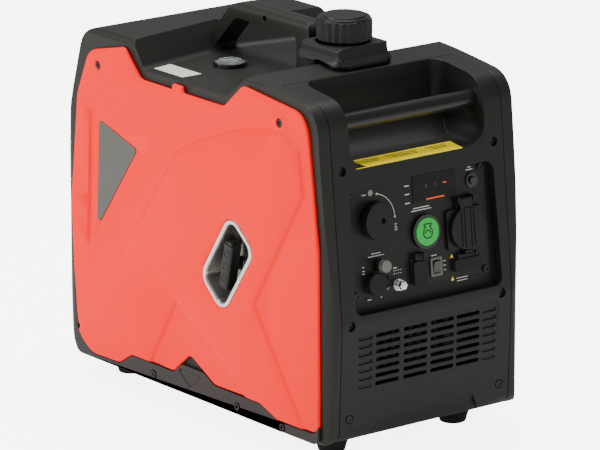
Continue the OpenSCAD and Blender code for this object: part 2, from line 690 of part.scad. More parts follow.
module usb_socket() color("#1a1a1a") on_panel(usb_at.x, usb_at.y) difference() {
    union() {
        translate([-10.5, -14, 0.05]) cube([21, 27, 3]);
        translate([-7.8, -9.8, -cp_t - 14]) cube([15.6, 19.6, 14 + cp_t + 1]);
        for (x = [-7, 4.5]) translate([x, usb_hinge_y - 4, 0.05]) cube([2.5, 7, 7.5]);
    }
    for (y = [-6, 2]) translate([-6.5, y, -10]) cube([13, 5, 20]);
    translate([-20, usb_hinge_y, 5]) rotate([0, 90, 0]) cylinder(h = 40, r = 1.2 + run);
}
module usb_cover() color("#252523") on_panel(usb_at.x, usb_at.y) {
    translate([0, 0, 3.4]) linear_extrude(4.5) plate(-10, -18, 10, 10, 4);
    translate([-4, 9, 3.4]) cube([8, usb_hinge_y - 9, 3.2]);
    translate([-4, usb_hinge_y, 5]) rotate([0, 90, 0]) cylinder(h = 8, r = 2.2);
    translate([-6.8, usb_hinge_y, 5]) rotate([0, 90, 0]) cylinder(h = 13.6, r = 1.2);
}
module eco_switch() color("#cfcfc8") on_panel(eco_at.x, eco_at.y) difference() {
    union() {
        translate([0, 0, 0.05]) linear_extrude(2) plate(-8.5, -11, 8.5, 11, 2);
        translate([-6.3, -8.8, -cp_t - 13]) cube([12.6, 17.6, 13 + cp_t + 1]);
    }
    translate([-5, -7.5, -11]) cube([10, 15, 30]);
    translate([-20, 0, 0]) rotate([0, 90, 0]) cylinder(h = 40, r = 1.2 + run);
}
module eco_rocker() color("#303030") on_panel(eco_at.x, eco_at.y) {
    translate([-4.8, 0, -5.6]) rotate([90, 0, 90]) linear_extrude(9.6)
        polygon([[-6.2, 6.6], [6.2, 6.6], [6.6, 10.6], [0, 8.6], [-6.6, 8]]);
    translate([-4.8, -2, -3]) cube([9.6, 4, 5]);
    translate([-6.1, 0, 0]) rotate([0, 90, 0]) cylinder(h = 12.2, r = 1.2);
}
module parallel_sockets() color("#1d1d1d") on_panel(parallel_at.x, parallel_at.y) difference() {
    union() {
        translate([-20.5, -8, 0.05]) cube([41, 14.8, 2.5]);
        translate([-18.8, -6.3, -cp_t - 14]) cube([37.6, 12.6, 14 + cp_t + 1]);
        for (x = [-14, 11.5]) translate([x, 5.8, 0.05]) cube([2.5, 5.2, 6.1]);
    }
    for (x = [-9.5, 9.5]) translate([x, -1, -12]) cylinder(h = 20, r = 2.1);
    translate([-20, 9, 4]) rotate([0, 90, 0]) cylinder(h = 40, r = 1 + run);
}
module parallel_cover() color("#262624") on_panel(parallel_at.x, parallel_at.y) {
    translate([0, 0, 2.9]) linear_extrude(3) plate(-19.5, -9, 19.5, 5, 3);
    translate([-11, 4, 2.9]) cube([22, 5, 2.2]);
    translate([-11, 9, 4]) rotate([0, 90, 0]) cylinder(h = 22, r = 1.8);
    translate([-13.8, 9, 4]) rotate([0, 90, 0]) cylinder(h = 27.6, r = 1);
}

// Fuel system
module tank_solid(d) intersection() {
    along_x(-tank_x + d, tank_x - d) plate(tank_y[0] + d, tank_low + d, tank_y[1] - d, tank_top - d, 14 - d);
    along_z(0, far) plate(-tank_x + d, tank_y[0] + d, tank_x - d, tank_y[1] - d, 26 - d);
}
module fuel_tank() color("#22221f") difference() {
    union() {
        tank_solid(0);
        rod_z(tank_top - 10, neck_top, neck_r, 0, filler_y);
    }
    tank_solid(tank_wall);
    rod_z(tank_top - 20, neck_top + 1, neck_r - 2.5, 0, filler_y);
    rod_z(tank_top - 20, far, gauge_barrel_r + run, gauge_at.x, gauge_at.y);
}
collar_r = cap_d / 2 + 3.5;
collar_base = collar_r + 7;
collar_side = [
    [-collar_base, basin_z, 0], [collar_base, basin_z, 0], [collar_base, body_h + 2, 3],
    [collar_r + 1, body_h + 9, 4], [collar_r, collar_z, 0], [-collar_r, collar_z, 0],
    [-collar_r - 1, body_h + 9, 4], [-collar_base, body_h + 2, 3]];
module filler_collar() color("#2a2a27") difference() {
    intersection() {
        along_z(basin_z, collar_z)
            plate(-collar_base, filler_y - collar_base, collar_base, filler_y + collar_base, 16);
        along_x(-far, far) translate([filler_y, 0]) polygon(rounded(collar_side));
        along_y(-far, far) polygon(rounded(collar_side));
    }
    case_solid(-0.3);
    rod_z(0, far + body_h, neck_r + 4, 0, filler_y);
    along_x(-handle_w / 2 - 1, handle_w / 2 + 1) polygon(rounded(inset(handle_side, -0.5)));
}
rib_count = 24;
cap_lower_r = cap_d / 2;
thread_gap = 0.6;
function rib_radius(k) = cap_lower_r - (k > 1 ? 1.6 : 0);
module fuel_cap() color("#262624") translate([0, filler_y, cap_z]) difference() {
    union() {
        linear_extrude(cap_h - 5) polygon([for (i = [0 : rib_count - 1], k = [0 : 3])
            let (a = (i + k / 4) * 360 / rib_count) rib_radius(k) * [cos(a), sin(a)]]);
        cylinder(h = cap_h - 2, r = cap_lower_r - 2.2);
        cylinder(h = cap_h, r = cap_lower_r - 7);
    }
    translate([0, 0, -1]) cylinder(h = cap_h - 5 + 1, r = neck_r + thread_gap);
}
module cap_seal() color("#111111") rod_z(neck_top + 0.05, neck_top + 2, neck_r - 0.5, 0, filler_y);
module gauge_body() color("#161616") translate([gauge_at.x, gauge_at.y, 0]) difference() {
    union() {
        translate([0, 0, basin_z + 0.1]) cylinder(h = 5, r = gauge_d / 2);
        translate([0, 0, tank_top - 16]) cylinder(h = basin_z - tank_top + 17, r = gauge_barrel_r);
    }
    translate([0, 0, basin_z + 2]) cylinder(h = 10, r = gauge_d / 2 - 2.5);
}
lens_r = gauge_d / 2 - 2.8;
lens_sphere_r = 42;
function dome(r) = sqrt(pow(lens_sphere_r, 2) - r * r);
lens_side = [[0, 0], [lens_r, 0],
             for (k = [0 : 6]) let (r = lens_r * (1 - k / 6)) [r, 1 + dome(r) - dome(lens_r)]];
module gauge_lens() color([0.75, 0.8, 0.82, 0.4])
    translate([gauge_at.x, gauge_at.y, basin_z + 4]) rotate_extrude() polygon(lens_side);
module gauge_needle() color("#e04020") translate([gauge_at.x, gauge_at.y, basin_z + 2.1]) {
    cylinder(h = 1.4, r = 2);
    translate([-0.7, -2, 0]) cube([1.4, 14, 0.8]);
}

// Recoil starter
module recoil_cup() color("#c8c8c2") difference() {
    union() {
        along_x(-body_w / 2 + 0.2, -body_w / 2 + 1.8) polygon(rounded(inset(diamond, 0.3)));
        along_x(-body_w / 2 + 1, -body_w / 2 + recess_depth) polygon(rounded(inset(diamond, 0.6)));
    }
    along_x(-far, -body_w / 2 + recess_depth - 2.5) polygon(rounded(inset(diamond, frame_w)));
    rod_x(-far, 0, rope_d / 2 + 1, recoil_y, recoil_z);
}
module starter_grip() color("#1a1a1a") translate([grip_x, recoil_y, recoil_z]) {
    rotate([grip_tilt, 0, 0]) intersection() {
        along_x(0, 14) plate(-grip_l / 2, -8, grip_l / 2, 8, 7);
        along_z(-far / 8, far / 8) plate(0, -grip_l / 2, 14, grip_l / 2, 5);
    }
    translate([13, 0, 0]) rotate([0, 90, 0]) cylinder(h = stem_end - grip_x - 13, r = 6);
}
stem_end = -body_w / 2 + recess_depth - 4;
module starter_rope() color("#2c2c2c") rod_x(stem_end + 0.1, crank_x, rope_d / 2, recoil_y, recoil_z);
pulley_y = [recoil_y - 7, recoil_y + 7];
housing_r = rotor_d / 2 + 9;
module recoil_housing() color("#3b3b39") {
    recoil_case();
    rod_y(pulley_y[0] - 12, pulley_y[1] - 0.5, shaft_d / 2 + 3 - run, crank_x, crank_z);
}
module recoil_case() difference() {
    union() {
        rod_y(pulley_y[0] - 14, pulley_y[1] + 3, rope_r + 14, crank_x, crank_z);
        rod_y(pulley_y[1], case_y[0] - 1, housing_r, crank_x, crank_z);
    }
    rod_y(pulley_y[0] - 11, far, rope_r + 11, crank_x, crank_z);
    rod_y(pulley_y[1] + 3, far, housing_r - 3, crank_x, crank_z);
    rod_x(-far, crank_x, rope_d / 2 + 1, recoil_y, recoil_z);
    rod_y(pulley_y[1] - 1, far, shaft_d / 2 + 2, crank_x, crank_z);
    around_shaft(30) rod_y(-far, pulley_y[0], 5, 32, 0);
}
module rope_pulley() color("#d7d2c0") difference() {
    union() {
        for (y = [pulley_y[0], pulley_y[1] - 3]) rod_y(y, y + 3, rope_r + 5, crank_x, crank_z);
        rod_y(pulley_y[0], pulley_y[1], rope_r - rope_d / 2 - 0.3, crank_x, crank_z);
    }
    rod_y(-far, far, shaft_d / 2 + 3, crank_x, crank_z);
    around_shaft(60) rod_y(-far, far, 6, 24, 0);
}

// Engine
cyl_r = bore_d / 2 + 6;
crank_case_r = cavity_r + 5;
sole_z = pan_z + pan_t + mount_h;
module square_plate(x, y, half, r) plate(x - half, y - half, x + half, y + half, r);
module crankcase() color("#a9aaa6") difference() {
    union() {
        along_y(case_y[0], case_y[1])
            plate(crank_x - crank_case_r, crank_z - cavity_r - 24, crank_x + crank_case_r,
                  crank_z + crank_case_r, 12);
        rod_x(head_x + 0.2, crank_x, cyl_r, rod_y_mid, crank_z);
        for (k = [0 : 5]) along_x(head_x + 6 + k * 9, head_x + 8.5 + k * 9)
            square_plate(rod_y_mid, crank_z, cyl_r + 8, 8);
        for (p = mount_spots) block(p.x - 10, p.y - 10, sole_z, p.x + 10, p.y + 10, sole_z + 6);
        block(-50, case_y[0], sole_z, 80, case_y[1], sole_z + 6);
        block(crank_x - 30, case_y[0], sole_z, crank_x + 30, case_y[1], crank_z - cavity_r);
    }
    rod_y(case_y[0] + 6, case_y[1] - 6, cavity_r, crank_x, crank_z);
    rod_x(-far, crank_x, bore_d / 2, rod_y_mid, crank_z);
    rod_y(-far, case_y[0] + 10, shaft_d / 2 + run, crank_x, crank_z);
    for (p = mount_spots) rod_z(0, sole_z + 20, 3 + run, p.x, p.y);
}
plug_x = head_x - head_t / 2;
module cylinder_head() color("#9d9e9a") difference() {
    union() {
        along_x(head_x - head_t, head_x) square_plate(rod_y_mid, crank_z, cyl_r, 8);
        along_x(head_x - head_t - 12, head_x - head_t)
            square_plate(rod_y_mid, crank_z, cyl_r - 4, 10);
    }
    rod_x(head_x - 6, far, bore_d / 2 - 4, rod_y_mid, crank_z);
    rod_z(crank_z + 10, far, 7 + run, plug_x, rod_y_mid);
}
web_y = [rod_y_mid - 22, rod_y_mid - 8];
module crankshaft() color("#8e9093") {
    rod_y(pulley_y[1] + 2, web_y[0] + 1, shaft_d / 2, crank_x, crank_z);
    intersection() {
        rod_y(web_y[0], web_y[1], 32, crank_x, crank_z);
        block(crank_x - throw - 11, web_y[0], crank_z - far, crank_x + 32, web_y[1], crank_z + far);
    }
}
pin_r = 6;
module connecting_rod() color("#85878a") difference() {
    union() {
        rod_y(rod_y_mid - 7.5, rod_y_mid + 7, 15, crank_x - throw, crank_z);
        rod_y(rod_y_mid - 7, rod_y_mid + 7, 8.5, pin_x, crank_z);
        block(pin_x, rod_y_mid - 4, crank_z - 6, crank_x - throw, rod_y_mid + 4, crank_z + 6);
    }
    rod_y(0, far, pin_r + run, pin_x, crank_z);
}
module ring_groove(x, w, r) rod_x(x, x + w, r, rod_y_mid, crank_z);
module piston() color("#b3b4b0") difference() {
    union() {
        difference() {
            rod_x(crown_x, pin_x + 14, bore_d / 2 - run, rod_y_mid, crank_z);
            rod_x(crown_x + 6, far, bore_d / 2 - 4, rod_y_mid, crank_z);
            for (k = [0 : 2]) difference() {
                ring_groove(crown_x + 2.5 + k * 2.2, 1, bore_d / 2 + 1);
                ring_groove(crown_x + 2.4 + k * 2.2, 1.2, bore_d / 2 - 1.5);
            }
        }
        rod_y(rod_y_mid - bore_d / 2 + 2, rod_y_mid + bore_d / 2 - 2, pin_r, pin_x, crank_z);
    }
}
module around_shaft(step) for (a = [0 : step : 359])
    translate([crank_x, 0, crank_z]) rotate([0, a, 0]) children();
module alternator_rotor() color("#5d5f62") difference() {
    union() {
        rod_y(rotor_y[0], rotor_y[1], rotor_d / 2, crank_x, crank_z);
        around_shaft(30) block(50, rotor_y[0] - 3, -1.5, rotor_d / 2 - 2, rotor_y[0] + 1, 1.5);
    }
    difference() {
        rod_y(rotor_y[0] + 6, far, rotor_d / 2 - 8, crank_x, crank_z);
        rod_y(rotor_y[0], rotor_y[1] - 12, shaft_d / 2 + 6, crank_x, crank_z);
    }
    rod_y(-far, far, shaft_d / 2, crank_x, crank_z);
}
module stator() color("#b0703a") difference() {
    union() {
        rod_y(rotor_y[0] + 9, case_y[0] - 0.1, 38, crank_x, crank_z);
        around_shaft(30) block(30, rotor_y[0] + 10, -6, rotor_d / 2 - 9, rotor_y[1] - 3, 6);
    }
    rod_y(-far, far, shaft_d / 2 + 7, crank_x, crank_z);
}
module spark_plug() color("#e8e6df") translate([plug_x, rod_y_mid, 0]) {
    rod_z(crank_z + 10.2, crank_z + cyl_r + 1, 7, 0, 0);
    rod_z(crank_z + cyl_r + 1, crank_z + cyl_r + 8, 10, 0, 0, $fn = 6);
    rod_z(crank_z + cyl_r + 8, crank_z + cyl_r + 26, 5, 0, 0);
    rod_z(crank_z + cyl_r + 26, crank_z + cyl_r + 44, 9, 0, 0);
}
carb_at = [40, 45, 262];
module carburettor() color("#9fa09c") translate(carb_at) difference() {
    union() {
        along_y(-22, 22) plate(-18, -15, 18, 15, 6);
        rod_z(crank_z + cavity_r + 5.2 - carb_at.z, -14, 14, 0, 0);
        rod_y(22, 34, 14, 0, 0);
    }
    rod_y(-60, 60, 9, 0, 0);
    rod_z(-60, 60, 2 + run, 0, -14);
}
module choke_lever() color("#202020") translate(carb_at) {
    rod_z(-8, 19, 2, 0, -14);
    along_z(15.2, 17.2) plate(-3, -17, 24, -11, 2.9);
}
module air_filter() color("#2a2a2a") difference() {
    along_y(carb_at.y - 95, carb_at.y - 22.2)
        plate(carb_at.x - 34, carb_at.z - 14, carb_at.x + 46, carb_at.z + 24, 8);
    along_y(carb_at.y - 92, carb_at.y - 26)
        plate(carb_at.x - 31, carb_at.z - 11, carb_at.x + 43, carb_at.z + 21, 6);
    rod_y(0, carb_at.y - 10, 9, carb_at.x, carb_at.z);
    rod_x(carb_at.x + 30, far, 10, carb_at.y - 60, carb_at.z);
}
muffler_y = [case_y[1] + 30, rear_y - 26];
module muffler() color("#8a8782") difference() {
    union() {
        along_y(muffler_y[0], muffler_y[1]) plate(-70, 82, 92, 232, 30);
        for (y = [muffler_y[0] + 20, muffler_y[1] - 20]) along_y(y, y + 3) plate(-72, 80, 94, 234, 32);
        rod_y(muffler_y[1] - 1, rear_y + 0.2, outlet_r, outlet_at.x, outlet_at.y);
        rod_y(case_y[1] + 8, muffler_y[0] + 1, 14, -30, 150);
        for (x = [-45, 55]) block(x, muffler_y[0] + 40, pan_z + pan_t + 0.2, x + 12, muffler_y[0] + 70, 83);
    }
    along_y(muffler_y[0] + 2, muffler_y[1] - 2) plate(-68, 84, 90, 230, 28);
    rod_y(muffler_y[1] - 10, far, outlet_r - 2, outlet_at.x, outlet_at.y);
    rod_y(0, muffler_y[0] + 10, 12, -30, 150);
}
inv_x = [-112, 40];
inv_y = [front_y + 32, front_y + 100];
fin_pitch = 12;
module inverter_module() color("#77797c") difference() {
    block(inv_x[0], inv_y[0], pan_z + pan_t + 0.2, inv_x[1], inv_y[1], 154);
    over_feet();
    for (k = [0 : 11]) translate([inv_x[0] + 8 + k * fin_pitch, inv_y[0], 0])
        block(0, -1, pan_z + pan_t + 20, fin_pitch / 2, 18, 160);
}
module battery() color("#303236") {
    difference() {
        block(52, front_y + 34, pan_z + pan_t + 0.2, 122, front_y + 110, 122);
        over_feet();
    }
    for (x = [66, 108]) rod_z(121, 130, 5, x, front_y + 50);
}
starter_r = 21;
starter_x = crank_x + crank_case_r + 0.2 + starter_r;
module starter_motor() color("#55575a") {
    rod_y(4, case_y[1], starter_r, starter_x, crank_z + 30);
    rod_y(case_y[1], case_y[1] + 6, 6, starter_x, crank_z + 30);
}
module engine_mounts() color("#1b1b1b") for (p = mount_spots) {
    rod_z(pan_z + pan_t + 0.1, sole_z - 0.1, 11, p.x, p.y);
    rod_z(pan_z - 2, pan_z + pan_t + 1, 3.4, p.x, p.y);
    rod_z(sole_z - 1, sole_z + 12, 3, p.x, p.y);
}

left_shell();
right_shell();
front_cover();
rear_cover();
base_pan();
rubber_feet();
left_side_panel();
right_side_panel();
lower_trims();
fasteners();
front_handle_bar();
control_panel();
engine_switch_knob();
fuel_valve();
display_module();
start_button();
start_button_ring();
ac_reset_button();
ac_reset_body();
ac_socket();
ac_socket_flap();
dc_breaker();
dc_breaker_button();
dc_socket();
dc_socket_cap();
ground_terminal();
usb_socket();
usb_cover();
eco_switch();
eco_rocker();
parallel_sockets();
parallel_cover();
fuel_tank();
filler_collar();
fuel_cap();
cap_seal();
gauge_body();
gauge_needle();
gauge_lens();
recoil_cup();
starter_grip();
starter_rope();
recoil_housing();
rope_pulley();
crankcase();
cylinder_head();
crankshaft();
connecting_rod();
piston();
alternator_rotor();
stator();
spark_plug();
carburettor();
choke_lever();
air_filter();
muffler();
inverter_module();
battery();
starter_motor();
engine_mounts();
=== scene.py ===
"""Looks of a closed-frame inverter generator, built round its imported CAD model.

The CAD model gives every size and place. This script softens its mouldings and builds the creased side
panels, the lined starter recess, the grip and its cord, and the control panel's print and fittings. Each
piece gets a finish named for the real material.
"""

from __future__ import annotations

import json
import logging
import math
from dataclasses import dataclass
from enum import Enum
from typing import Callable, Iterable, Sequence

import bpy
from mathutils import Matrix, Vector

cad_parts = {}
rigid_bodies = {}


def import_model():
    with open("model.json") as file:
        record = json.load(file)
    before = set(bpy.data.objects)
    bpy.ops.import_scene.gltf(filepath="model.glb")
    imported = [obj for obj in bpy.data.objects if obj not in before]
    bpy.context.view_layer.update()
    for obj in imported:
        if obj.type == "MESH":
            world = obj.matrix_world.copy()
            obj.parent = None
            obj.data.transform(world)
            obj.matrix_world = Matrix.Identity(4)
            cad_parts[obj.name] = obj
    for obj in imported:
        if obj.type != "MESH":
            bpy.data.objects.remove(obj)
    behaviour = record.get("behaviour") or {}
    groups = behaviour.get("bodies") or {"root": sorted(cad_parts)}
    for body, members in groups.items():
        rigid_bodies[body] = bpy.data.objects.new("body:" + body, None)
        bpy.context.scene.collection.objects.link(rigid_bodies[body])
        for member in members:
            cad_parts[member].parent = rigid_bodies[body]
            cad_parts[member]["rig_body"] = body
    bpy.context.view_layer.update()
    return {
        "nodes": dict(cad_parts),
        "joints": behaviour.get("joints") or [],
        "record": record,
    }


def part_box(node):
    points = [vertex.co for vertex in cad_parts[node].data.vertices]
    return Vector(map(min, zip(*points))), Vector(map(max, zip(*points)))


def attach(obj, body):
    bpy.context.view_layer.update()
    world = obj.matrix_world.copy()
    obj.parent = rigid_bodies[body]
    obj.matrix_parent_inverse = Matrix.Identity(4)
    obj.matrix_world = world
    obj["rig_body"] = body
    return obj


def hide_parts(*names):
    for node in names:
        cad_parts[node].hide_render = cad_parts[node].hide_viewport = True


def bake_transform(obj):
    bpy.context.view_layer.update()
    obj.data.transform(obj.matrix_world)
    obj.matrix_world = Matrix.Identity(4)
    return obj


log = logging.getLogger("generator")

MM = 0.001
SMOOTH_ANGLE = math.radians(32)
PRINT_LIFT = 0.12 * MM
BADGE_SINK_MM = 4.2

Point = Sequence[float]


def linear(code: str) -> tuple[float, float, float, float]:
    """Turns an sRGB hex colour into linear RGBA.

    Args:
        code: The colour as six hex digits.

    Returns:
        Red, green, blue and alpha, linear.
    """
    parts = [int(code[i:i + 2], 16) / 255 for i in (0, 2, 4)]
    r, g, b = (c / 12.92 if c <= 0.04045 else ((c + 0.055) / 1.055) ** 2.4 for c in parts)
    return r, g, b, 1.0


def add_node(tree: bpy.types.NodeTree, kind: str, links: dict | None = None, **settings) -> bpy.types.Node:
    """Adds a shader node with its settings and links.

    Args:
        tree: The material's node tree.
        kind: The node's type, such as "ShaderNodeBump".
        links: For each input's name or number, the output socket that feeds it.
        **settings: Attributes of the node, or values of its inputs where no attribute has that name.

    Returns:
        The new node.
    """
    new = tree.nodes.new(kind)
    for key, value in settings.items():
        if hasattr(new, key):
            setattr(new, key, value)
        else:
            new.inputs[key.replace("_", " ")].default_value = value
    for socket, source in (links or {}).items():
        tree.links.new(source, new.inputs[socket])
    return new


class Weave(Enum):
    """How a surface's fine pattern runs."""

    GRAIN = "grain"
    LENGTHWISE = "lengthwise"
    ROUND = "round"


@dataclass(frozen=True)
class Finish:
    """One real material and how its surface was made."""

    name: str
    colour: str
    roughness: float = 0.45
    metallic: float = 0.0
    ior: float = 1.5
    grain_mm: float = 1.0
    relief_mm: float = 0.03
    mottle: float = 0.05
    mottle_mm: float = 60.0
    sheen_spread: float = 0.06
    weave: Weave = Weave.GRAIN
    coat: float = 0.0
    glow: float = 0.0
    seen_glow: float = 0.0
    clear: float = 0.0

    def build(self) -> bpy.types.Material:
        """Makes the material: two noises vary colour and gloss, and the fine pattern gives the relief.

        Returns:
            The new material.
        """
        material = bpy.data.materials.new(self.name)
        material.use_nodes = True
        tree = material.node_tree
        tree.nodes.clear()
        place = add_node(tree, "ShaderNodeTexCoord").outputs["Object"]
        fine = self._pattern(tree, place)
        broad = add_node(tree, "ShaderNodeTexNoise", {"Vector": place}, Scale=1 / (self.mottle_mm * MM),
                         Detail=3.0)
        shade = add_node(
            tree, "ShaderNodeMix", {"Factor": broad.outputs["Fac"]}, data_type="RGBA", blend_type="MIX",
        )
        base = linear(self.colour)
        shade.inputs[6].default_value = tuple(min(1.0, c * (1 - self.mottle)) for c in base[:3]) + (1.0,)
        shade.inputs[7].default_value = tuple(min(1.0, c * (1 + self.mottle)) for c in base[:3]) + (1.0,)
        gloss = add_node(
            tree, "ShaderNodeMapRange", {"Value": fine}, To_Min=max(0.02, self.roughness - self.sheen_spread),
            To_Max=min(1.0, self.roughness + self.sheen_spread),
        )
        bump = add_node(tree, "ShaderNodeBump", {"Height": fine}, Strength=0.6, Distance=self.relief_mm * MM)
        shader = add_node(
            tree, "ShaderNodeBsdfPrincipled",
            {"Base Color": shade.outputs[2], "Roughness": gloss.outputs[0], "Normal": bump.outputs[0]},
            Metallic=self.metallic, IOR=self.ior, Coat_Weight=self.coat, Coat_Roughness=0.12,
            Transmission_Weight=self.clear, Emission_Strength=self.glow, Emission_Color=base,
        )
        if self.seen_glow:
            seen = add_node(tree, "ShaderNodeLightPath").outputs["Is Camera Ray"]
            shine = add_node(tree, "ShaderNodeMath", {0: seen}, operation="MULTIPLY_ADD")
            shine.inputs[1].default_value, shine.inputs[2].default_value = self.seen_glow, self.glow
            tree.links.new(shine.outputs[0], shader.inputs["Emission Strength"])
        add_node(tree, "ShaderNodeOutputMaterial", {"Surface": shader.outputs[0]})
        return material

    def _pattern(self, tree: bpy.types.NodeTree, place: bpy.types.NodeSocket) -> bpy.types.NodeSocket:
        """The fine pattern: even grain, brush lines or turning marks, as wide as grain_mm.

        Args:
            tree: The material's node tree.
            place: The Object coordinates.

        Returns:
            The pattern's output.
        """
        scale = 1 / (self.grain_mm * MM)
        if self.weave is Weave.ROUND:
            rings = add_node(tree, "ShaderNodeTexWave", {"Vector": place}, wave_type="RINGS",
                             Scale=scale / 6.3, Distortion=1.0)
            return rings.outputs["Fac"]
        if self.weave is Weave.LENGTHWISE:
            drawn = add_node(tree, "ShaderNodeMapping", {"Vector": place}, Scale=(0.02, 1.0, 1.0))
            place = drawn.outputs[0]
        return add_node(tree, "ShaderNodeTexNoise", {"Vector": place}, Scale=scale, Detail=2.0).outputs["Fac"]


class Finishes:
    """The generator's finishes, each made once, at its first use."""

    # Glass-filled ABS from a spark-eroded mould: matt, with an even fine grain that scatters highlights.
    CASE = Finish("abs_case_grained", "1B1B18", 0.46, grain_mm=0.9, relief_mm=0.05, mottle=0.06, ior=1.32)
    # The same moulding compound as the case, a shade darker, on the front and rear covers.
    COVER = Finish("abs_cover_grained", "181816", 0.45, grain_mm=0.9, relief_mm=0.05, mottle=0.06, ior=1.32)
    # Coloured ABS from a polished mould: smooth satin with a soft wide highlight and a faint flow mottle.
    PANEL = Finish("abs_coral_satin", "FF0402", 0.38, grain_mm=2.5, relief_mm=0.012, mottle=0.02,
                   mottle_mm=120, ior=1.15)
    # Polypropylene trim: a little waxier than the case, with softer highlights.
    TRIM = Finish("polypropylene_trim", "232321", 0.44, grain_mm=0.9, relief_mm=0.04, ior=1.32)
    # Glass-filled nylon knobs and caps: satin, with fine turning marks from the mould.
    KNOB = Finish("nylon_black_satin", "151514", 0.36, grain_mm=1.2, relief_mm=0.02, ior=1.32)
    # Screen-printed polycarbonate overlay: even, slightly glossier than the case round it.
    CONTROL = Finish("polycarbonate_overlay", "191917", 0.38, grain_mm=0.7, relief_mm=0.02, ior=1.32)
    # Moulded nitrile rubber: dull, soft-edged and a little dusty.
    RUBBER = Finish("nitrile_rubber", "151514", 0.62, grain_mm=1.6, relief_mm=0.06, mottle=0.12, ior=1.32)
    # Polished ABS: clear reflections with hardly any grain.
    GLOSS = Finish("abs_gloss_black", "0A0A0B", 0.26, grain_mm=4, relief_mm=0.004, sheen_spread=0.03,
                   coat=0.3)
    # Anti-glare smoked polycarbonate window: nearly black, with a broad dim sheen.
    SCREEN = Finish("polycarbonate_antiglare", "0E0E0F", 0.5, grain_mm=0.6, relief_mm=0.01, ior=1.3)
    # Tinted acrylic over a lit lens: saturated, with a bright crisp highlight.
    GREEN = Finish("acrylic_green", "02B438", 0.28, grain_mm=3, relief_mm=0.004, coat=0.4, mottle=0.03,
                   ior=1.35)
    # Translucent silicone boot over a breaker: milky grey, soft and shiny.
    CLEAR = Finish("silicone_smoked", "5E5C57", 0.24, grain_mm=2, relief_mm=0.01, coat=0.4)
    # Smoked polycarbonate rocker frame: grey-brown and glossy.
    SMOKED = Finish("polycarbonate_smoked", "4A4741", 0.22, grain_mm=2, relief_mm=0.01, coat=0.4)
    # Vacuum-metallised ABS bezel: bright but not mirror-like, as lacquer dulls the metal.
    SILVER = Finish("abs_metallised_satin", "D0CFC9", 0.27, metallic=0.8, grain_mm=1.5, relief_mm=0.006)
    # Pressed aluminium bowl: satin with a faint directional draw.
    BOWL = Finish("aluminium_pressed", "8A8882", 0.28, metallic=0.9, grain_mm=1.2, relief_mm=0.015,
                  mottle=0.12)
    # Bright zinc plate on steel: bluish white, with small patches from the bath.
    ZINC = Finish("zinc_plated_steel", "D8DAD8", 0.22, metallic=1.0, grain_mm=1.2, relief_mm=0.01, mottle=0.1,
                  mottle_mm=6)
    # Pressure die-cast aluminium: grey, with a sandy skin.
    CAST = Finish("aluminium_die_cast", "A3A39E", 0.50, metallic=0.9, grain_mm=1.8, relief_mm=0.08,
                  mottle=0.1)
    # Black-anodised heat sink: dark and even, with a dull metal glint.
    ANODISED = Finish("aluminium_black_anodised", "1C1D1F", 0.45, metallic=0.7, grain_mm=1.0, relief_mm=0.02)
    # Cylindrically ground steel: fine lines along the grinding.
    STEEL = Finish("steel_ground", "8D8E90", 0.28, metallic=1.0, grain_mm=0.8, relief_mm=0.01,
                   weave=Weave.LENGTHWISE)
    # Black-oxide screws: dark, oily and faintly metallic. The near-black is also painted shade: it darkens
    # the screw wells, on the screws and on the rings that line the side panels' wells.
    BLACK_STEEL_AND_SHADE = Finish("steel_black_oxide_and_shade", "0B0B0B", 0.34, metallic=0.3, grain_mm=1.0, relief_mm=0.02)
    # Powder-coated tube: a fine orange peel under a semi-gloss skin.
    TUBE = Finish("steel_powder_coat", "171716", 0.30, grain_mm=1.6, relief_mm=0.03, coat=0.2, ior=1.32)
    # Enamelled copper wire, wound in layers: round lines with a warm varnish shine.
    COPPER = Finish("copper_winding", "B0703A", 0.35, metallic=0.9, grain_mm=1.4, relief_mm=0.3,
                    weave=Weave.ROUND)
    # Glazed porcelain: white and glassy.
    CERAMIC = Finish("porcelain_glazed", "ECEAE2", 0.12, grain_mm=5, relief_mm=0.004, coat=0.5)
    # Natural nylon: cream and waxy.
    NYLON = Finish("nylon_natural", "D8D2C0", 0.42, grain_mm=1.4, relief_mm=0.03)
    # Mild steel that has run hot: straw and brown patches on a dull grey.
    MUFFLER = Finish("steel_heat_stained", "6E6963", 0.42, metallic=0.9, grain_mm=1.2, relief_mm=0.04,
                     mottle=0.25, mottle_mm=45)
    # Braided polyester starter cord: matt, with the braid drawn about as coarse as its strands.
    ROPE = Finish("polyester_braid", "232323", 0.8, grain_mm=1.2, relief_mm=0.35, mottle=0.2, mottle_mm=3)
    # Moulded polycarbonate lens: clear and polished.
    LENS = Finish("polycarbonate_lens", "F2F6F7", 0.05, grain_mm=6, relief_mm=0.002, mottle=0.01, clear=0.95,
                  sheen_spread=0.02)
    # Signal-red ABS pointer.
    NEEDLE = Finish("abs_signal_red", "D8301E", 0.4, grain_mm=1, relief_mm=0.01)
    # Polypropylene battery case: dark blue-grey and waxy.
    BATTERY = Finish("polypropylene_case", "2A2D31", 0.5, grain_mm=1.0, relief_mm=0.04)
    # Painted aluminium plate: grey with a faint metal flake.
    BADGE = Finish("aluminium_painted_grey", "4C4C47", 0.40, metallic=0.35, grain_mm=1.2, relief_mm=0.01)
    # Screen-printed inks: flat and even.
    WHITE_INK = Finish("ink_white", "C4C4BE", 0.5, grain_mm=0.6, relief_mm=0.004)
    YELLOW_INK = Finish("ink_yellow", "FFD800", 0.5, grain_mm=0.6, relief_mm=0.004)
    BLACK_INK = Finish("ink_black", "0B0B0B", 0.5, grain_mm=0.6, relief_mm=0.004)
    GREY_INK = Finish("ink_grey", "4A4A36", 0.5, grain_mm=0.6, relief_mm=0.004)
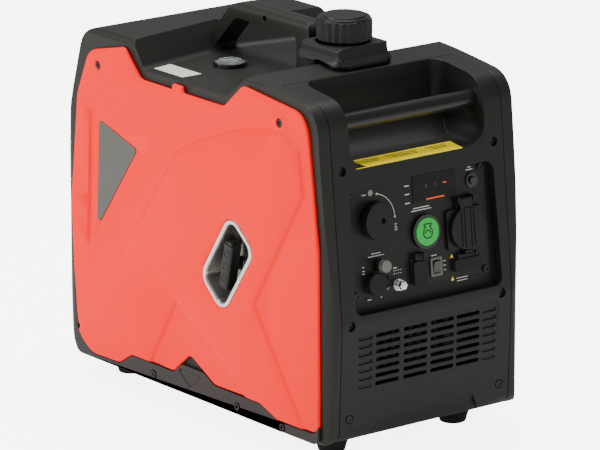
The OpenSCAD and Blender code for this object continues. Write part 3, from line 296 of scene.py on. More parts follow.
    # Orange light-emitting marks behind the dark display window.
    ORANGE_LIT = Finish("led_orange", "E04A10", 0.4, grain_mm=1, relief_mm=0.01, glow=0.5)
    DIM_LIT = Finish("led_orange_off", "7A2A10", 0.4, grain_mm=1, relief_mm=0.01)
    # Vinyl labels: smooth, with a slight sheen.
    YELLOW_LABEL = Finish("label_vinyl_yellow", "FFE200", 0.36, grain_mm=1.5, relief_mm=0.006, mottle=0.03,
                          ior=1.3)
    WHITE_LABEL = Finish("label_vinyl_white", "D8D7D0", 0.36, grain_mm=1.5, relief_mm=0.006, mottle=0.03)
    # Seamless studio paper, lit from below so that it stays pale.
    FLOOR = Finish("studio_paper", "F3F3F1", 0.9, grain_mm=4, relief_mm=0.01, mottle=0.004, mottle_mm=400,
                   glow=0.25, seen_glow=6.0)

    _made: dict[str, bpy.types.Material] = {}

    @classmethod
    def get(cls, finish: Finish) -> bpy.types.Material:
        """Gives the finish's material, made at its first use.

        Args:
            finish: The finish.

        Returns:
            Its material.
        """
        if finish.name not in cls._made:
            cls._made[finish.name] = finish.build()
        return cls._made[finish.name]


def deselect() -> None:
    """Leaves object mode with nothing selected."""
    if bpy.context.mode != "OBJECT":
        bpy.ops.object.mode_set(mode="OBJECT")
    bpy.ops.object.select_all(action="DESELECT")


def activate(obj: bpy.types.Object) -> None:
    """Makes obj the only selected and the active object.

    Args:
        obj: The object to select and make active.
    """
    deselect()
    obj.select_set(True)
    bpy.context.view_layer.objects.active = obj


def pick_faces(obj: bpy.types.Object, test: Callable[[bpy.types.MeshPolygon], bool]) -> None:
    """Selects the faces that pass a test, and enters edit mode in face mode.

    Args:
        obj: The mesh object.
        test: Says of each face whether it is picked.
    """
    activate(obj)
    bpy.context.tool_settings.mesh_select_mode = (False, False, True)
    for item in (*obj.data.vertices, *obj.data.edges):
        item.select = False
    for face in obj.data.polygons:
        face.select = test(face)
    bpy.ops.object.mode_set(mode="EDIT")


def apply_modifier(obj: bpy.types.Object, kind: str, **settings) -> None:
    """Adds a modifier with its settings and applies it.

    Args:
        obj: The mesh object.
        kind: Blender's name for the kind of modifier.
        settings: The modifier's settings.
    """
    activate(obj)
    modifier = obj.modifiers.new(kind.title(), kind)
    for key, value in settings.items():
        setattr(modifier, key, value)
    bpy.ops.object.modifier_apply(modifier=modifier.name)


def bevel(obj: bpy.types.Object, width_mm: float, segments: int = 2, angle: float = 35) -> None:
    """Rounds the edges sharper than an angle in degrees."""
    apply_modifier(obj, "BEVEL", width=width_mm * MM, segments=segments, limit_method="ANGLE",
                   angle_limit=math.radians(angle), use_clamp_overlap=False, miter_outer="MITER_ARC",
                   harden_normals=False)


def smooth(obj: bpy.types.Object, angle: float = SMOOTH_ANGLE) -> None:
    """Shades obj smooth, with edges sharper than the angle kept crisp."""
    activate(obj)
    bpy.ops.object.shade_smooth_by_angle(angle=angle)


def clean(obj: bpy.types.Object) -> None:
    """Merges doubles and turns the faces outwards.

    Args:
        obj: The mesh object.
    """
    activate(obj)
    bpy.ops.object.mode_set(mode="EDIT")
    bpy.ops.mesh.select_all(action="SELECT")
    bpy.ops.mesh.remove_doubles(threshold=0.002 * MM)
    bpy.ops.mesh.normals_make_consistent(inside=False)
    deselect()


def settle(obj: bpy.types.Object) -> None:
    """Puts the object's place, turn and size into its mesh."""
    activate(obj)
    bpy.ops.object.transform_apply(location=True, rotation=True, scale=True)


def join(name: str, parts: Sequence[bpy.types.Object]) -> bpy.types.Object:
    """Joins parts into one object, settled at the origin.

    Args:
        name: The piece's name.
        parts: The objects to join.

    Returns:
        The joined object.
    """
    for part in parts:
        settle(part)
    deselect()
    for part in parts:
        part.select_set(True)
    bpy.context.view_layer.objects.active = parts[0]
    if len(parts) > 1:
        bpy.ops.object.join()
    parts[0].name = name
    parts[0].data.name = name
    return parts[0]


def body_of_node(node: str) -> str:
    """The CAD body that a CAD node rides on."""
    return frame["nodes"][node]["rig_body"]


def slot_of_node(node: str) -> str:
    """The record's material slot of a CAD node."""
    return next(s["material_slot"] for s in frame["record"]["subparts"] if s["node"] == node)


def present(obj: bpy.types.Object, finish: Finish, body: str,
            replaces: Iterable[str] = ()) -> None:
    """Dresses a finished piece and joins it to the frame.

    Args:
        obj: The piece, settled.
        finish: Its finish.
        body: The CAD body that it rides on.
        replaces: The CAD nodes that it stands for.
    """
    obj.data.materials.clear()
    obj.data.materials.append(Finishes.get(finish))
    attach(obj, body)
    nodes = list(replaces)
    if nodes:
        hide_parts(*nodes)
    log.info("%s rides on %s, %d faces", obj.name, body, len(obj.data.polygons))


def copy_of_node(node: str, name: str) -> bpy.types.Object:
    """A copy of a CAD node's mesh as one clean skin: doubles merged and flat stretches dissolved.

    Args:
        node: The CAD node's name.
        name: The copy's name.

    Returns:
        The copy, at the origin.
    """
    source = frame["nodes"][node]
    obj = bpy.data.objects.new(name, source.data.copy())
    bpy.context.scene.collection.objects.link(obj)
    activate(obj)
    bpy.ops.object.mode_set(mode="EDIT")
    bpy.ops.mesh.select_all(action="SELECT")
    bpy.ops.mesh.remove_doubles(threshold=0.002 * MM)
    bpy.ops.mesh.dissolve_limited(angle_limit=math.radians(0.4))
    deselect()
    return obj


def mesh_piece(name: str, points: Sequence[Point], faces: Sequence[Sequence[int]]) -> bpy.types.Object:
    """A new mesh object from points in metres and faces.

    Args:
        name: The piece's name.
        points: The vertices.
        faces: Each face's vertex numbers.

    Returns:
        The object.
    """
    mesh = bpy.data.meshes.new(name)
    mesh.from_pydata([tuple(p) for p in points], [], [list(f) for f in faces])
    obj = bpy.data.objects.new(name, mesh)
    bpy.context.scene.collection.objects.link(obj)
    clean(obj)
    return obj


def loft(name: str, rings: Sequence[Sequence[Point]], capped: bool = True) -> bpy.types.Object:
    """A skin stretched over rings of equal length, in order.

    Args:
        name: The piece's name.
        rings: The rings, each a list of points in metres.
        capped: Whether the first and last rings are filled.

    Returns:
        The object.
    """
    count = len(rings[0])
    faces: list[Sequence[int]] = []
    for k in range(len(rings) - 1):
        for i in range(count):
            j = (i + 1) % count
            faces.append((k * count + i, k * count + j, (k + 1) * count + j, (k + 1) * count + i))
    if capped:
        faces.append(list(range(count))[::-1])
        faces.append([(len(rings) - 1) * count + i for i in range(count)])
    return mesh_piece(name, [p for ring in rings for p in ring], faces)


def round_corners(corners: Sequence[tuple[float, float]], radius: float, inward: float = 0.0,
                  steps: int = 8) -> list[tuple[float, float]]:
    """A closed convex outline with round corners, drawn in by a distance.

    Args:
        corners: The outline's corners, anticlockwise.
        radius: The corner radius before the outline is drawn in.
        inward: How far the outline is drawn in.
        steps: Points on each corner's arc, less one.

    Returns:
        The outline's points.
    """
    points = []
    count = len(corners)
    for i in range(count):
        before, here, after = (Vector(corners[(i + k) % count]) for k in (-1, 0, 1))
        u, v = (before - here).normalized(), (after - here).normalized()
        half = u.angle(v) / 2
        centre = here + (u + v).normalized() * (radius / math.sin(half))
        small = max(radius - inward, 1.0)
        centre += (u + v).normalized() * ((inward - (radius - small)) / math.sin(half))
        start = Vector((u.y, -u.x)) if u.cross(v) < 0 else Vector((-u.y, u.x))
        sweep = math.pi - 2 * half
        first = math.atan2(start.y, start.x)
        if (Vector((math.cos(first), math.sin(first))).dot(u + v)) > 0:
            first += math.pi
        turn = sweep / steps
        points += [(centre.x + small * math.cos(first + turn * k),
                    centre.y + small * math.sin(first + turn * k)) for k in range(steps + 1)]
    return points


def joint(name: str) -> dict:
    """The record's joint of that name."""
    return next(j for j in frame["joints"] if j["name"] == name)


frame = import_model()


@dataclass
class Softened:
    """A moulding that keeps its CAD shape, with its sharp edges rounded as a mould rounds them."""

    node: str
    finish: Finish
    edge_mm: float = 0.6
    segments: int = 2

    def build(self) -> bpy.types.Object:
        """Copies the node, rounds its edges and shades it smooth.

        Returns:
            The finished moulding.
        """
        obj = copy_of_node(self.node, self.node + "_moulded")
        bevel(obj, self.edge_mm, self.segments)
        smooth(obj)
        apply_modifier(obj, "WEIGHTED_NORMAL", keep_sharp=True)
        present(obj, self.finish, body_of_node(self.node), [self.node])
        return obj


@dataclass
class Case:
    """The case's mouldings and their edges."""

    mouldings: tuple[Softened, ...] = (
        Softened("left_shell", Finishes.CASE, 0.9),
        Softened("right_shell", Finishes.CASE, 0.9),
        Softened("front_cover", Finishes.COVER, 0.8),
        Softened("rear_cover", Finishes.COVER, 0.8),
        Softened("filler_collar", Finishes.CASE, 5.0, 4),
        Softened("lower_trims", Finishes.TRIM, 0.8),
        Softened("rubber_feet", Finishes.RUBBER, 1.2, 3),
        Softened("front_handle_bar", Finishes.TUBE, 0.8),
        # Near-black screws, their colour partly painted shade for the wells they sit in.
        Softened("fasteners", Finishes.BLACK_STEEL_AND_SHADE, 0.35),
        Softened("fuel_cap", Finishes.KNOB, 1.1, 3),
        Softened("gauge_body", Finishes.GLOSS, 0.6, 3),
    )

    def build(self) -> None:
        """Builds each moulding in turn."""
        for moulding in self.mouldings:
            moulding.build()
        self._trim_facets()

    def _trim_facets(self) -> None:
        """The small sunk facet under the peak of each lower trim."""
        facets = Ink("trim_facets", Finishes.TRIM, slot_of_node("lower_trims"), 1.2)
        reach = abs(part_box("lower_trims")[0].x)
        for side in (-1, 1):
            turn = Matrix(((0, 0, side, side * (reach - 1.9 * MM)), (1, 0, 0, 0), (0, 1, 0, 0), (0, 0, 0, 1)))
            facets.polygon(turn, round_corners(((-20.0, 54.0), (2.0, 36.0), (26.0, 54.0)), 2.5, 0.3))
        facets.build()


INSIDE_FINISHES: dict[str, Finish] = {
    "base_pan": Finishes.TRIM, "fasteners": Finishes.BLACK_STEEL_AND_SHADE, "fuel_valve": Finishes.ZINC,
    "fuel_tank": Finishes.GLOSS, "cap_seal": Finishes.RUBBER, "gauge_needle": Finishes.NEEDLE,
    "gauge_lens": Finishes.LENS, "recoil_housing": Finishes.CONTROL, "rope_pulley": Finishes.NYLON,
    "crankcase": Finishes.CAST, "cylinder_head": Finishes.CAST, "crankshaft": Finishes.STEEL,
    "connecting_rod": Finishes.STEEL, "piston": Finishes.CAST, "alternator_rotor": Finishes.STEEL,
    "stator": Finishes.COPPER, "spark_plug": Finishes.CERAMIC, "carburettor": Finishes.CAST,
    "choke_lever": Finishes.GLOSS, "air_filter": Finishes.TRIM, "muffler": Finishes.MUFFLER,
    "inverter_module": Finishes.ANODISED, "battery": Finishes.BATTERY, "starter_motor": Finishes.GLOSS,
    "engine_mounts": Finishes.RUBBER, "control_panel": Finishes.CONTROL, "ac_reset_body": Finishes.GLOSS,
    "dc_breaker": Finishes.GLOSS, "dc_socket": Finishes.CONTROL, "usb_socket": Finishes.CONTROL,
    "parallel_sockets": Finishes.CONTROL, "gauge_body": Finishes.GLOSS, "starter_rope": Finishes.ROPE,
    "engine_switch_knob": Finishes.KNOB, "display_module": Finishes.GLOSS, "start_button": Finishes.GREEN,
    "start_button_ring": Finishes.GLOSS, "ac_reset_button": Finishes.GLOSS, "ac_socket": Finishes.KNOB,
    "ac_socket_flap": Finishes.KNOB, "dc_breaker_button": Finishes.CLEAR, "dc_socket_cap": Finishes.RUBBER,
    "ground_terminal": Finishes.ZINC, "usb_cover": Finishes.RUBBER, "eco_switch": Finishes.SMOKED,
    "eco_rocker": Finishes.GLOSS, "parallel_cover": Finishes.RUBBER, "fuel_cap": Finishes.KNOB,
    "recoil_cup": Finishes.SILVER, "starter_grip": Finishes.GLOSS, "left_side_panel": Finishes.PANEL,
    "right_side_panel": Finishes.PANEL,
}


def dress_frame() -> None:
    """Gives each CAD node listed in INSIDE_FINISHES its finish."""
    for node, finish in INSIDE_FINISHES.items():
        mesh = frame["nodes"][node].data
        mesh.materials.clear()
        mesh.materials.append(Finishes.get(finish))


@dataclass(frozen=True)
class Facet:
    """A field of the side panel with straight sides, raised above or sunk below what lies round it.

    The outline's points are in millimetres (y, z). A raised field's surroundings climb back over a distance.
    A level field has a flat floor, its drop below the panel's face.
    """

    outline: tuple[tuple[float, float], ...]
    drop_mm: float
    step_mm: float
    raised: bool = False
    level: bool = False
    cuts: int = 4
    climb_mm: float = 50.0
    climb_share: float = 0.75

    def edges(self) -> list[tuple[Vector, Vector, Vector]]:
        """Each edge's two ends and its inward normal.

        Returns:
            For each edge its start, its end and its inward normal.
        """
        points = [Vector(p) for p in self.outline]
        turn = 1 if sum(a.cross(b) for a, b in zip(points, points[1:] + points[:1])) > 0 else -1
        edges = []
        for a, b in zip(points, points[1:] + points[:1]):
            along = (b - a).normalized()
            edges.append((a, b, Vector((-along.y, along.x)) * turn))
        return edges

    def depth(self, spot: Vector, edges: list[tuple[Vector, Vector, Vector]]) -> float:
        """How far a spot is inside the outline, or outside it if negative.

        Args:
            spot: The spot, in millimetres (y, z).
            edges: The outline's edges.

        Returns:
            The distance to the outline in millimetres, positive inside it.
        """
        inside = False
        near = math.inf
        for a, b, _ in edges:
            if (a.y > spot.y) != (b.y > spot.y) and spot.x < (b.x - a.x) * (spot.y - a.y) / (b.y - a.y) + a.x:
                inside = not inside
            t = max(0.0, min(1.0, (spot - a).dot(b - a) / (b - a).length_squared))
            near = min(near, (spot - a - (b - a) * t).length)
        return near if inside else -near

    def sink(self, spot: Vector, edges: list[tuple[Vector, Vector, Vector]], before: float) -> float:
        """How far the skin lies below the panel's face at a spot, given how far it lay without this field.

        Args:
            spot: The spot, in millimetres (y, z).
            edges: The outline's edges.
            before: How far the skin lay below the face without this field.

        Returns:
            How far it lies with it.
        """
        depth = self.depth(spot, edges)
        t = max(0.0, min(1.0, 0.5 + (-depth if self.raised else depth) / self.step_mm))
        climb = self.climb_share * max(0.0, min(1.0, -depth / self.climb_mm)) if self.raised else 0.0
        return before + (self.drop_mm * (1 - climb) - (before if self.level else 0.0)) * t * t * (3 - 2 * t)


@dataclass
class SidePanels:
    """The coral side panels: a raised field with soft steps falling to lower fields, as on the mould."""

    edge_mm: float = 2.4
    facets: tuple[Facet, ...] = (
        # The raised middle field
        Facet(((-222, 20), (-119, 163), (-208, 308), (-200, 356), (-178, 371), (-136, 369), (-87, 358),
               (-22, 334), (22, 313), (230, 42), (230, 10), (100, 10), (27, 133), (-150, 20)),
              3.2, 5.0, raised=True, cuts=5),
        # The front edge's inner facet
        Facet(((-300, 350), (-169, 163), (-300, -20)), 1.3, 16.0),
        # The recess for the badge
        Facet(((92, 296), (199, 166), (192, 328)), BADGE_SINK_MM, 2.4, level=True, cuts=3),
    )
    screws: tuple[tuple[float, float], ...] = ((175, 383), (-166, 383))
    well_r: float = 5.2
    well_mm: float = 3.8
    pad_mm: float = 8.0
    cutter_mm: float = 20.0

    def build(self) -> None:
        """Builds both panels from their CAD outlines, and the near-black rings of painted shade in their
        screw wells.
        """
        shade_rings = []
        for node, side in (("left_side_panel", -1), ("right_side_panel", 1)):
            obj = self._plate(node, side)
            self._score(obj)
            self._press(obj, side)
            shade_rings += self._wells(obj, side)
            smooth(obj, math.radians(25))
            present(obj, Finishes.PANEL, "root", [node])
        # The near-black rings are painted shade in the screw wells.
        present(join("screw_well_shade", shade_rings), Finishes.BLACK_STEEL_AND_SHADE, "root")

    def _plate(self, node: str, side: int) -> bpy.types.Object:
        """The panel's outline, from the back of its CAD node, drawn out to a plate with a rounded edge.

        Args:
            node: The panel's CAD node.
            side: -1 for the left panel and 1 for the right one.

        Returns:
            The plate, closed and with its faces outwards.
        """
        obj = copy_of_node(node, node + "_pressed")
        low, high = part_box(node)
        back = high.x if side < 0 else low.x
        thick = high.x - low.x
        pick_faces(obj, lambda f: not (abs(f.center.x - back) < 0.01 * MM and abs(f.normal.x) > 0.99))
        bpy.ops.mesh.delete(type="FACE")
        bpy.ops.mesh.select_all(action="SELECT")
        bpy.ops.mesh.extrude_region_move(TRANSFORM_OT_translate={"value": (side * thick, 0, 0)})
        bpy.ops.mesh.select_all(action="SELECT")
        bpy.ops.mesh.normals_make_consistent(inside=False)
        deselect()
        apply_modifier(obj, "BEVEL", width=self.edge_mm * MM, segments=4, limit_method="ANGLE",
                       angle_limit=math.radians(60), use_clamp_overlap=False)
        return obj

    def _score(self, obj: bpy.types.Object) -> None:
        """Cuts the skin along each step, so that the step bends only there.

        Args:
            obj: The plate.
        """
        activate(obj)
        bpy.ops.object.mode_set(mode="EDIT")
        bpy.ops.mesh.select_all(action="SELECT")
        bpy.ops.mesh.quads_convert_to_tris()
        for facet in self.facets:
            for a, _, normal in facet.edges():
                for k in range(facet.cuts):
                    spot = (a + normal * facet.step_mm * (k / (facet.cuts - 1) - 0.5)) * MM
                    bpy.ops.mesh.select_all(action="SELECT")
                    bpy.ops.mesh.bisect(plane_co=(0, spot.x, spot.y), plane_no=(0, normal.x, normal.y))
        for y, z in self.screws:
            for along in (Vector((1, 0)), Vector((0, 1))):
                for shift in (-2, -1, 1, 2):
                    spot = (Vector((y, z)) + along * shift * self.pad_mm) * MM
                    bpy.ops.mesh.select_all(action="SELECT")
                    bpy.ops.mesh.bisect(plane_co=(0, spot.x, spot.y), plane_no=(0, along.x, along.y))
        deselect()

    def _press(self, obj: bpy.types.Object, side: int) -> None:
        """Sinks the skin field by field, but hardly at all round the screws.

        Args:
            obj: The scored plate.
            side: -1 for the left panel and 1 for the right one.
        """
        back = abs(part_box("left_side_panel")[1].x)
        edges = [facet.edges() for facet in self.facets]
        for vertex in obj.data.vertices:
            if abs(vertex.co.x) - back > 0.5 * MM:
                spot = Vector((vertex.co.y, vertex.co.z)) / MM
                sink = 0.0
                for facet, lines in zip(self.facets, edges):
                    sink = facet.sink(spot, lines, sink)
                near = min((spot - Vector(p)).length for p in self.screws) / self.pad_mm
                vertex.co.x -= side * min(sink, 0.9 + 3.2 * max(0.0, near - 1.0)) * MM

    def _wells(self, obj: bpy.types.Object, side: int) -> list[bpy.types.Object]:
        """Cuts the screw wells, with a known fault at the front pair, and makes the near-black rings of
        painted shade that line them.

        Args:
            obj: The pressed plate.
            side: -1 for the left panel and 1 for the right one.

        Returns:
            The rings of painted shade, one for each well.
        """
        face = abs(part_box("left_side_panel")[0].x)
        shade_rings = []
        for y, z in self.screws:
            floor = face - self.well_mm * MM
            deselect()
            bpy.ops.mesh.primitive_cylinder_add(
                vertices=40, radius=self.well_r * MM, depth=self.cutter_mm * MM, rotation=(0, math.pi / 2, 0),
                location=(side * (floor + self.cutter_mm / 2 * MM), y * MM, z * MM))
            cutter = bpy.context.active_object
            # Known fault: at the front wells this solver leaves the left panel's mesh open, and leaves the
            # cutter standing on the right panel, past the CAD box
            apply_modifier(obj, "BOOLEAN", operation="DIFFERENCE", object=cutter, solver="FAST")
            bpy.data.objects.remove(cutter)
            # A near-black ring at the bottom of the well, round the screw: painted shade where the well lies
            # in shadow.
            rings = []
            for radius, x in ((5.1, 0.05), (5.1, 1.9), (4.5, 1.9), (4.5, 0.05)):
                rings.append([(side * (floor + x * MM), (y + radius * math.cos(a * math.pi / 20)) * MM,
                               (z + radius * math.sin(a * math.pi / 20)) * MM) for a in range(40)])
            shade_rings.append(loft("screw_well_shade_ring", rings + rings[:1], capped=False))
        return shade_rings


@dataclass
class PanelFace:
    """The leaning face that the controls sit on. Spots on it are given by width and by height."""

    def __post_init__(self) -> None:
        """Finds the face from the start button's travel and the engine switch's pivot."""
        self.inward = Vector(joint("start_press")["axis"]).normalized()
        self.out = -self.inward
        self.up = self.out.cross(Vector((1, 0, 0))).normalized()
        self.origin = Vector(joint("engine_switch")["pos_m"])

    def matrix(self, x_mm: float, z_mm: float, lift_mm: float = 0.0, turn: float = 0.0) -> Matrix:
        """Places local x across the face, local y up it and local z out of it, at a spot.

        Args:
            x_mm: Across the case.
            z_mm: The height above the ground.
            lift_mm: How far out of the face.
            turn: A turn on the face, in radians.

        Returns:
            The placing matrix.
        """
        along = (z_mm * MM - self.origin.z) / self.up.z
        spot = self.origin + self.up * along
        spot.x = x_mm * MM
        spot += self.out * lift_mm * MM
        axes = Matrix((Vector((1, 0, 0)), self.up, self.out)).transposed().to_4x4()
        return Matrix.Translation(spot) @ axes @ Matrix.Rotation(turn, 4, "Z")


class Ink:
    """Flat printed marks in one colour, gathered into one thin piece."""

    def __init__(self, name: str, finish: Finish, slot: str, thick_mm: float = 0.12) -> None:
        """Starts an empty print.

        Args:
            name: The piece's name.
            finish: Its finish.
            slot: The record's material slot; not used.
            thick_mm: How thick the print is.
        """
        self.name, self.finish, self.slot, self.thick_mm = name, finish, slot, thick_mm
        self.parts: list[bpy.types.Object] = []

    def polygon(self, place: Matrix, outline: Sequence[tuple[float, float]]) -> None:
        """Adds a filled outline, in millimetres on the local face.

        Args:
            place: Where the local face lies.
            outline: The corners in order, in millimetres.
        """
        thick = self.thick_mm * MM
        ring = [Vector((x * MM, y * MM, 0)) for x, y in outline]
        rings = [[place @ p for p in ring], [place @ (p + Vector((0, 0, thick))) for p in ring]]
        self.parts.append(loft(self.name, rings))

    def bar(self, place: Matrix, width: float, height: float) -> None:
        """Adds a rectangle centred on the spot."""
        x, y = width / 2, height / 2
        self.polygon(place, [(-x, -y), (x, -y), (x, y), (-x, y)])

    def dot(self, place: Matrix, radius: float, sides: int = 20) -> None:
        """Adds a disc, or a regular polygon of a few sides."""
        turns = [2 * math.pi * k / sides for k in range(sides)]
        self.polygon(place, [(radius * math.sin(turn), radius * math.cos(turn)) for turn in turns][::-1])

    def line(self, place: Matrix, points: Sequence[tuple[float, float]], width: float,
             closed: bool = False) -> None:
        """Adds a line of even width through points.

        Args:
            place: Where the local face lies.
            points: The points that it runs through.
            width: Its width in millimetres.
            closed: Whether it runs back to its first point.
        """
        count = len(points)
        stops = range(count if closed else count - 1)
        for k in stops:
            a, b = Vector(points[k]), Vector(points[(k + 1) % count])
            along = (b - a).normalized() * width * 0.25
            side = Vector((-along.y, along.x)) * 2
            self.polygon(place, [tuple(a - along - side), tuple(b + along - side), tuple(b + along + side),
                                 tuple(a - along + side)])

    def build(self, body: str = "root") -> None:
        """Joins the marks into one piece."""
        obj = join(self.name, self.parts)
        present(obj, self.finish, body)


def arc(cx: float, cy: float, radius: float, start: float, end: float,
        steps: int = 12) -> list[tuple[float, float]]:
    """Points on an arc, its angles in degrees.

    Args:
        cx: The centre's x.
        cy: The centre's y.
        radius: The radius.
        start: The first angle.
        end: The last angle.
        steps: How many stretches it is drawn in.

    Returns:
        The points, both ends among them.
    """
    turns = [math.radians(start + (end - start) * k / steps) for k in range(steps + 1)]
    return [(cx + radius * math.cos(turn), cy + radius * math.sin(turn)) for turn in turns]


@dataclass
class ControlPanel:
    """The fittings on the leaning face and the print round them."""

    fittings: tuple[Softened, ...] = (
        Softened("control_panel", Finishes.CONTROL, 0.4),
        Softened("engine_switch_knob", Finishes.KNOB, 1.0, 3),
        Softened("start_button_ring", Finishes.GLOSS, 0.5, 3),
        Softened("start_button", Finishes.GREEN, 0.6, 3),
        Softened("ac_reset_body", Finishes.GLOSS, 0.4),
        Softened("ac_reset_button", Finishes.GLOSS, 0.8, 3),
        Softened("ac_socket", Finishes.KNOB, 0.6),
        Softened("ac_socket_flap", Finishes.KNOB, 0.9, 3),
        Softened("dc_breaker", Finishes.GLOSS, 0.4),
        Softened("dc_breaker_button", Finishes.CLEAR, 0.8, 3),
        Softened("dc_socket", Finishes.CONTROL, 0.4),
        Softened("dc_socket_cap", Finishes.RUBBER, 0.9, 3),
        Softened("ground_terminal", Finishes.ZINC, 0.35),
        Softened("usb_socket", Finishes.CONTROL, 0.4),
        Softened("usb_cover", Finishes.RUBBER, 1.0, 3),
        Softened("eco_switch", Finishes.SMOKED, 0.4),
        Softened("eco_rocker", Finishes.GLOSS, 0.4),
        Softened("parallel_sockets", Finishes.CONTROL, 0.4),
        Softened("parallel_cover", Finishes.RUBBER, 0.8, 3),
        Softened("display_module", Finishes.SCREEN, 0.2),
    )

    def build(self) -> None:
        """Builds the fittings, then the print."""
        for fitting in self.fittings:
            fitting.build()
        self.face = PanelFace()
        self._white_print()
        self._yellow_print()
        self._display()
        self._start_symbol()
        self._flap_ribs()

    def _white_print(self) -> None:
        """The switch's arc with its end dots, position marks, and short plain bars where words would be."""
        ink = Ink("panel_print_white", Finishes.WHITE_INK, "control_black")
        at = self.face.matrix
        knob = at(-61, 271.5, 0.05)
        ink.line(knob, arc(-1, 0, 30, 78, 0, 16), 0.8)
        for angle in (78, 0):
            ink.dot(knob @ Matrix.Translation(Vector(arc(-1, 0, 30, angle, angle, 1)[0] + (0,)) * MM), 1.3)
        ink.line(at(-64.6, 303, 0.05), arc(0, 0, 2.8, 0, 342, 19), 0.6, closed=True)
        ink.bar(at(-64.6, 303, 0.05), 1.6, 3.0)
        ink.bar(at(-74, 302, 0.05), 6, 1.1)
        ink.bar(at(-31.5, 263, 0.05), 3.2, 0.9)
        ink.line(at(-31.5, 258.5, 0.05), [(-1.2, -2.2), (1.2, -2.2), (1.2, 1.4), (0, 2.4), (-1.2, 1.4)], 0.6,
                 True)
        for z in (302.5, 293, 283):
            ink.bar(at(-13, z, 0.05), 6.5, 1.3)
        for z, width in ((275.6, 23), (272.8, 29)):
            ink.bar(at(6, z, 0.05), width, 1.1)
        for z, width in ((309.5, 5), (306.8, 10)):
            ink.bar(at(78, z, 0.05), width, 1.0)
        for z, width in ((235, 13), (232, 23)):
            ink.bar(at(-62, z, 0.05), width, 0.9)
        for x, z in ((-81, 222), (-81, 217.5), (-81, 214.5)):
            ink.bar(at(x, z, 0.05), 2.6 if z > 220 else 3.4, 1.0)
        ink.bar(at(-36, 214, 0.05), 5, 1.1)
        for z in (211, 207.5):
            for x in range(4):
                ink.bar(at(-38 + x * 3.2, z, 0.05), 1.4, 0.8)
        ink.line(at(-49, 194.6, 0.05), arc(0, 0, 3.0, 0, 342, 19), 0.45, closed=True)
        for k, width in enumerate((3.4, 2.2, 1.0)):
            ink.bar(at(-49, 195.2 - k * 1.1, 0.05), width, 0.4)
        ink.bar(at(20, 218.6, 0.05), 8, 1.2)
        for z in (210, 205, 200):
            ink.bar(at(35, z, 0.05), 3.4, 0.8)
        for z, width in ((212.6, 6), (187, 17), (184, 15)):
            ink.bar(at(59, z, 0.05), width, 0.8)
        ink.bar(at(-75, 184.5, 0.05), 5, 0.9)
        ink.bar(at(-58, 184.8, 0.05), 1.6, 1.6)
        ink.build()

    def _yellow_print(self) -> None:
        """Two small yellow triangles beside the sockets."""
        ink = Ink("panel_print_yellow", Finishes.YELLOW_INK, "control_black")
        for x, z in ((45.8, 212.8), (45.2, 187.2)):
            ink.dot(self.face.matrix(x, z, 0.05), 2.9, 3)
        ink.build()

    def _display(self) -> None:
        """The lit bar and the faint marks behind the display window, and the fine line at its left."""
        lit = Ink("display_bar_lit", Finishes.ORANGE_LIT, "gloss_black")
        lit.bar(self.face.matrix(26.5, 283.5, 0.98), 26, 1.5)
        lit.bar(self.face.matrix(41, 298.5, 0.98), 5, 1.2)
        lit.build()
        dim = Ink("display_marks_dim", Finishes.DIM_LIT, "gloss_black")
        dim.bar(self.face.matrix(14, 298.5, 0.98), 1.4, 3.6)
        dim.line(self.face.matrix(27, 298.5, 0.98), arc(0, 0, 1.6, 0, 342, 12), 0.6, closed=True)
        dim.build()

    def _start_symbol(self) -> None:
        """A plain engine outline on the start button."""
        ink = Ink("start_symbol", Finishes.BLACK_INK, "button_green")
        vertices = frame["nodes"]["start_button"].data.vertices
        depth = max((v.co - self.face.origin).dot(self.face.out) for v in vertices)
        place = self.face.matrix(9, self._height_of("start_button"), depth / MM + 0.02)
        outline = arc(0, -1.6, 6.4, -232, 52, 20)
        outline += [(3.4, 4.6), (3.4, 6.0), (5.0, 6.0), (5.0, 8.4), (-5.0, 8.4), (-5.0, 6.0), (-3.4, 6.0),
                    (-3.4, 4.6)]
        ink.line(place, outline, 1.4, closed=True)
        ink.line(place, arc(0, -2.4, 3.6, 20, 160, 8), 1.2)
        for side in (-1, 1):
            x = side * 3.6
            ink.polygon(place, [(x - 1.3, -1.1), (x + 1.3, -1.1), (x, -3.0)][::side])
        ink.build("start_key")

    def _height_of(self, node: str) -> float:
        """The height above the ground of a fitting's centre, where it crosses the panel's face.

        Args:
            node: The fitting's CAD node.

        Returns:
            The height in millimetres.
        """
        low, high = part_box(node)
        middle = (low + high) / 2
        depth = (middle - self.face.origin).dot(self.face.out)
        return (middle - self.face.out * depth).z / MM

    def _flap_ribs(self) -> None:
        """Two upright ribs on the mains socket's flap."""
        nodes = frame["nodes"]["ac_socket_flap"].data.vertices
        depth = max((v.co - self.face.origin).dot(self.face.out) for v in nodes) / MM
        ribs = Ink("socket_flap_ribs", Finishes.KNOB, "control_black", thick_mm=0.9)
        for x, height in ((56, 40), (60.5, 44), (69.5, 44), (74, 40)):
            ribs.bar(self.face.matrix(x, 243.2, depth - 0.1), 1.3, height)
        ribs.build("socket_flap")


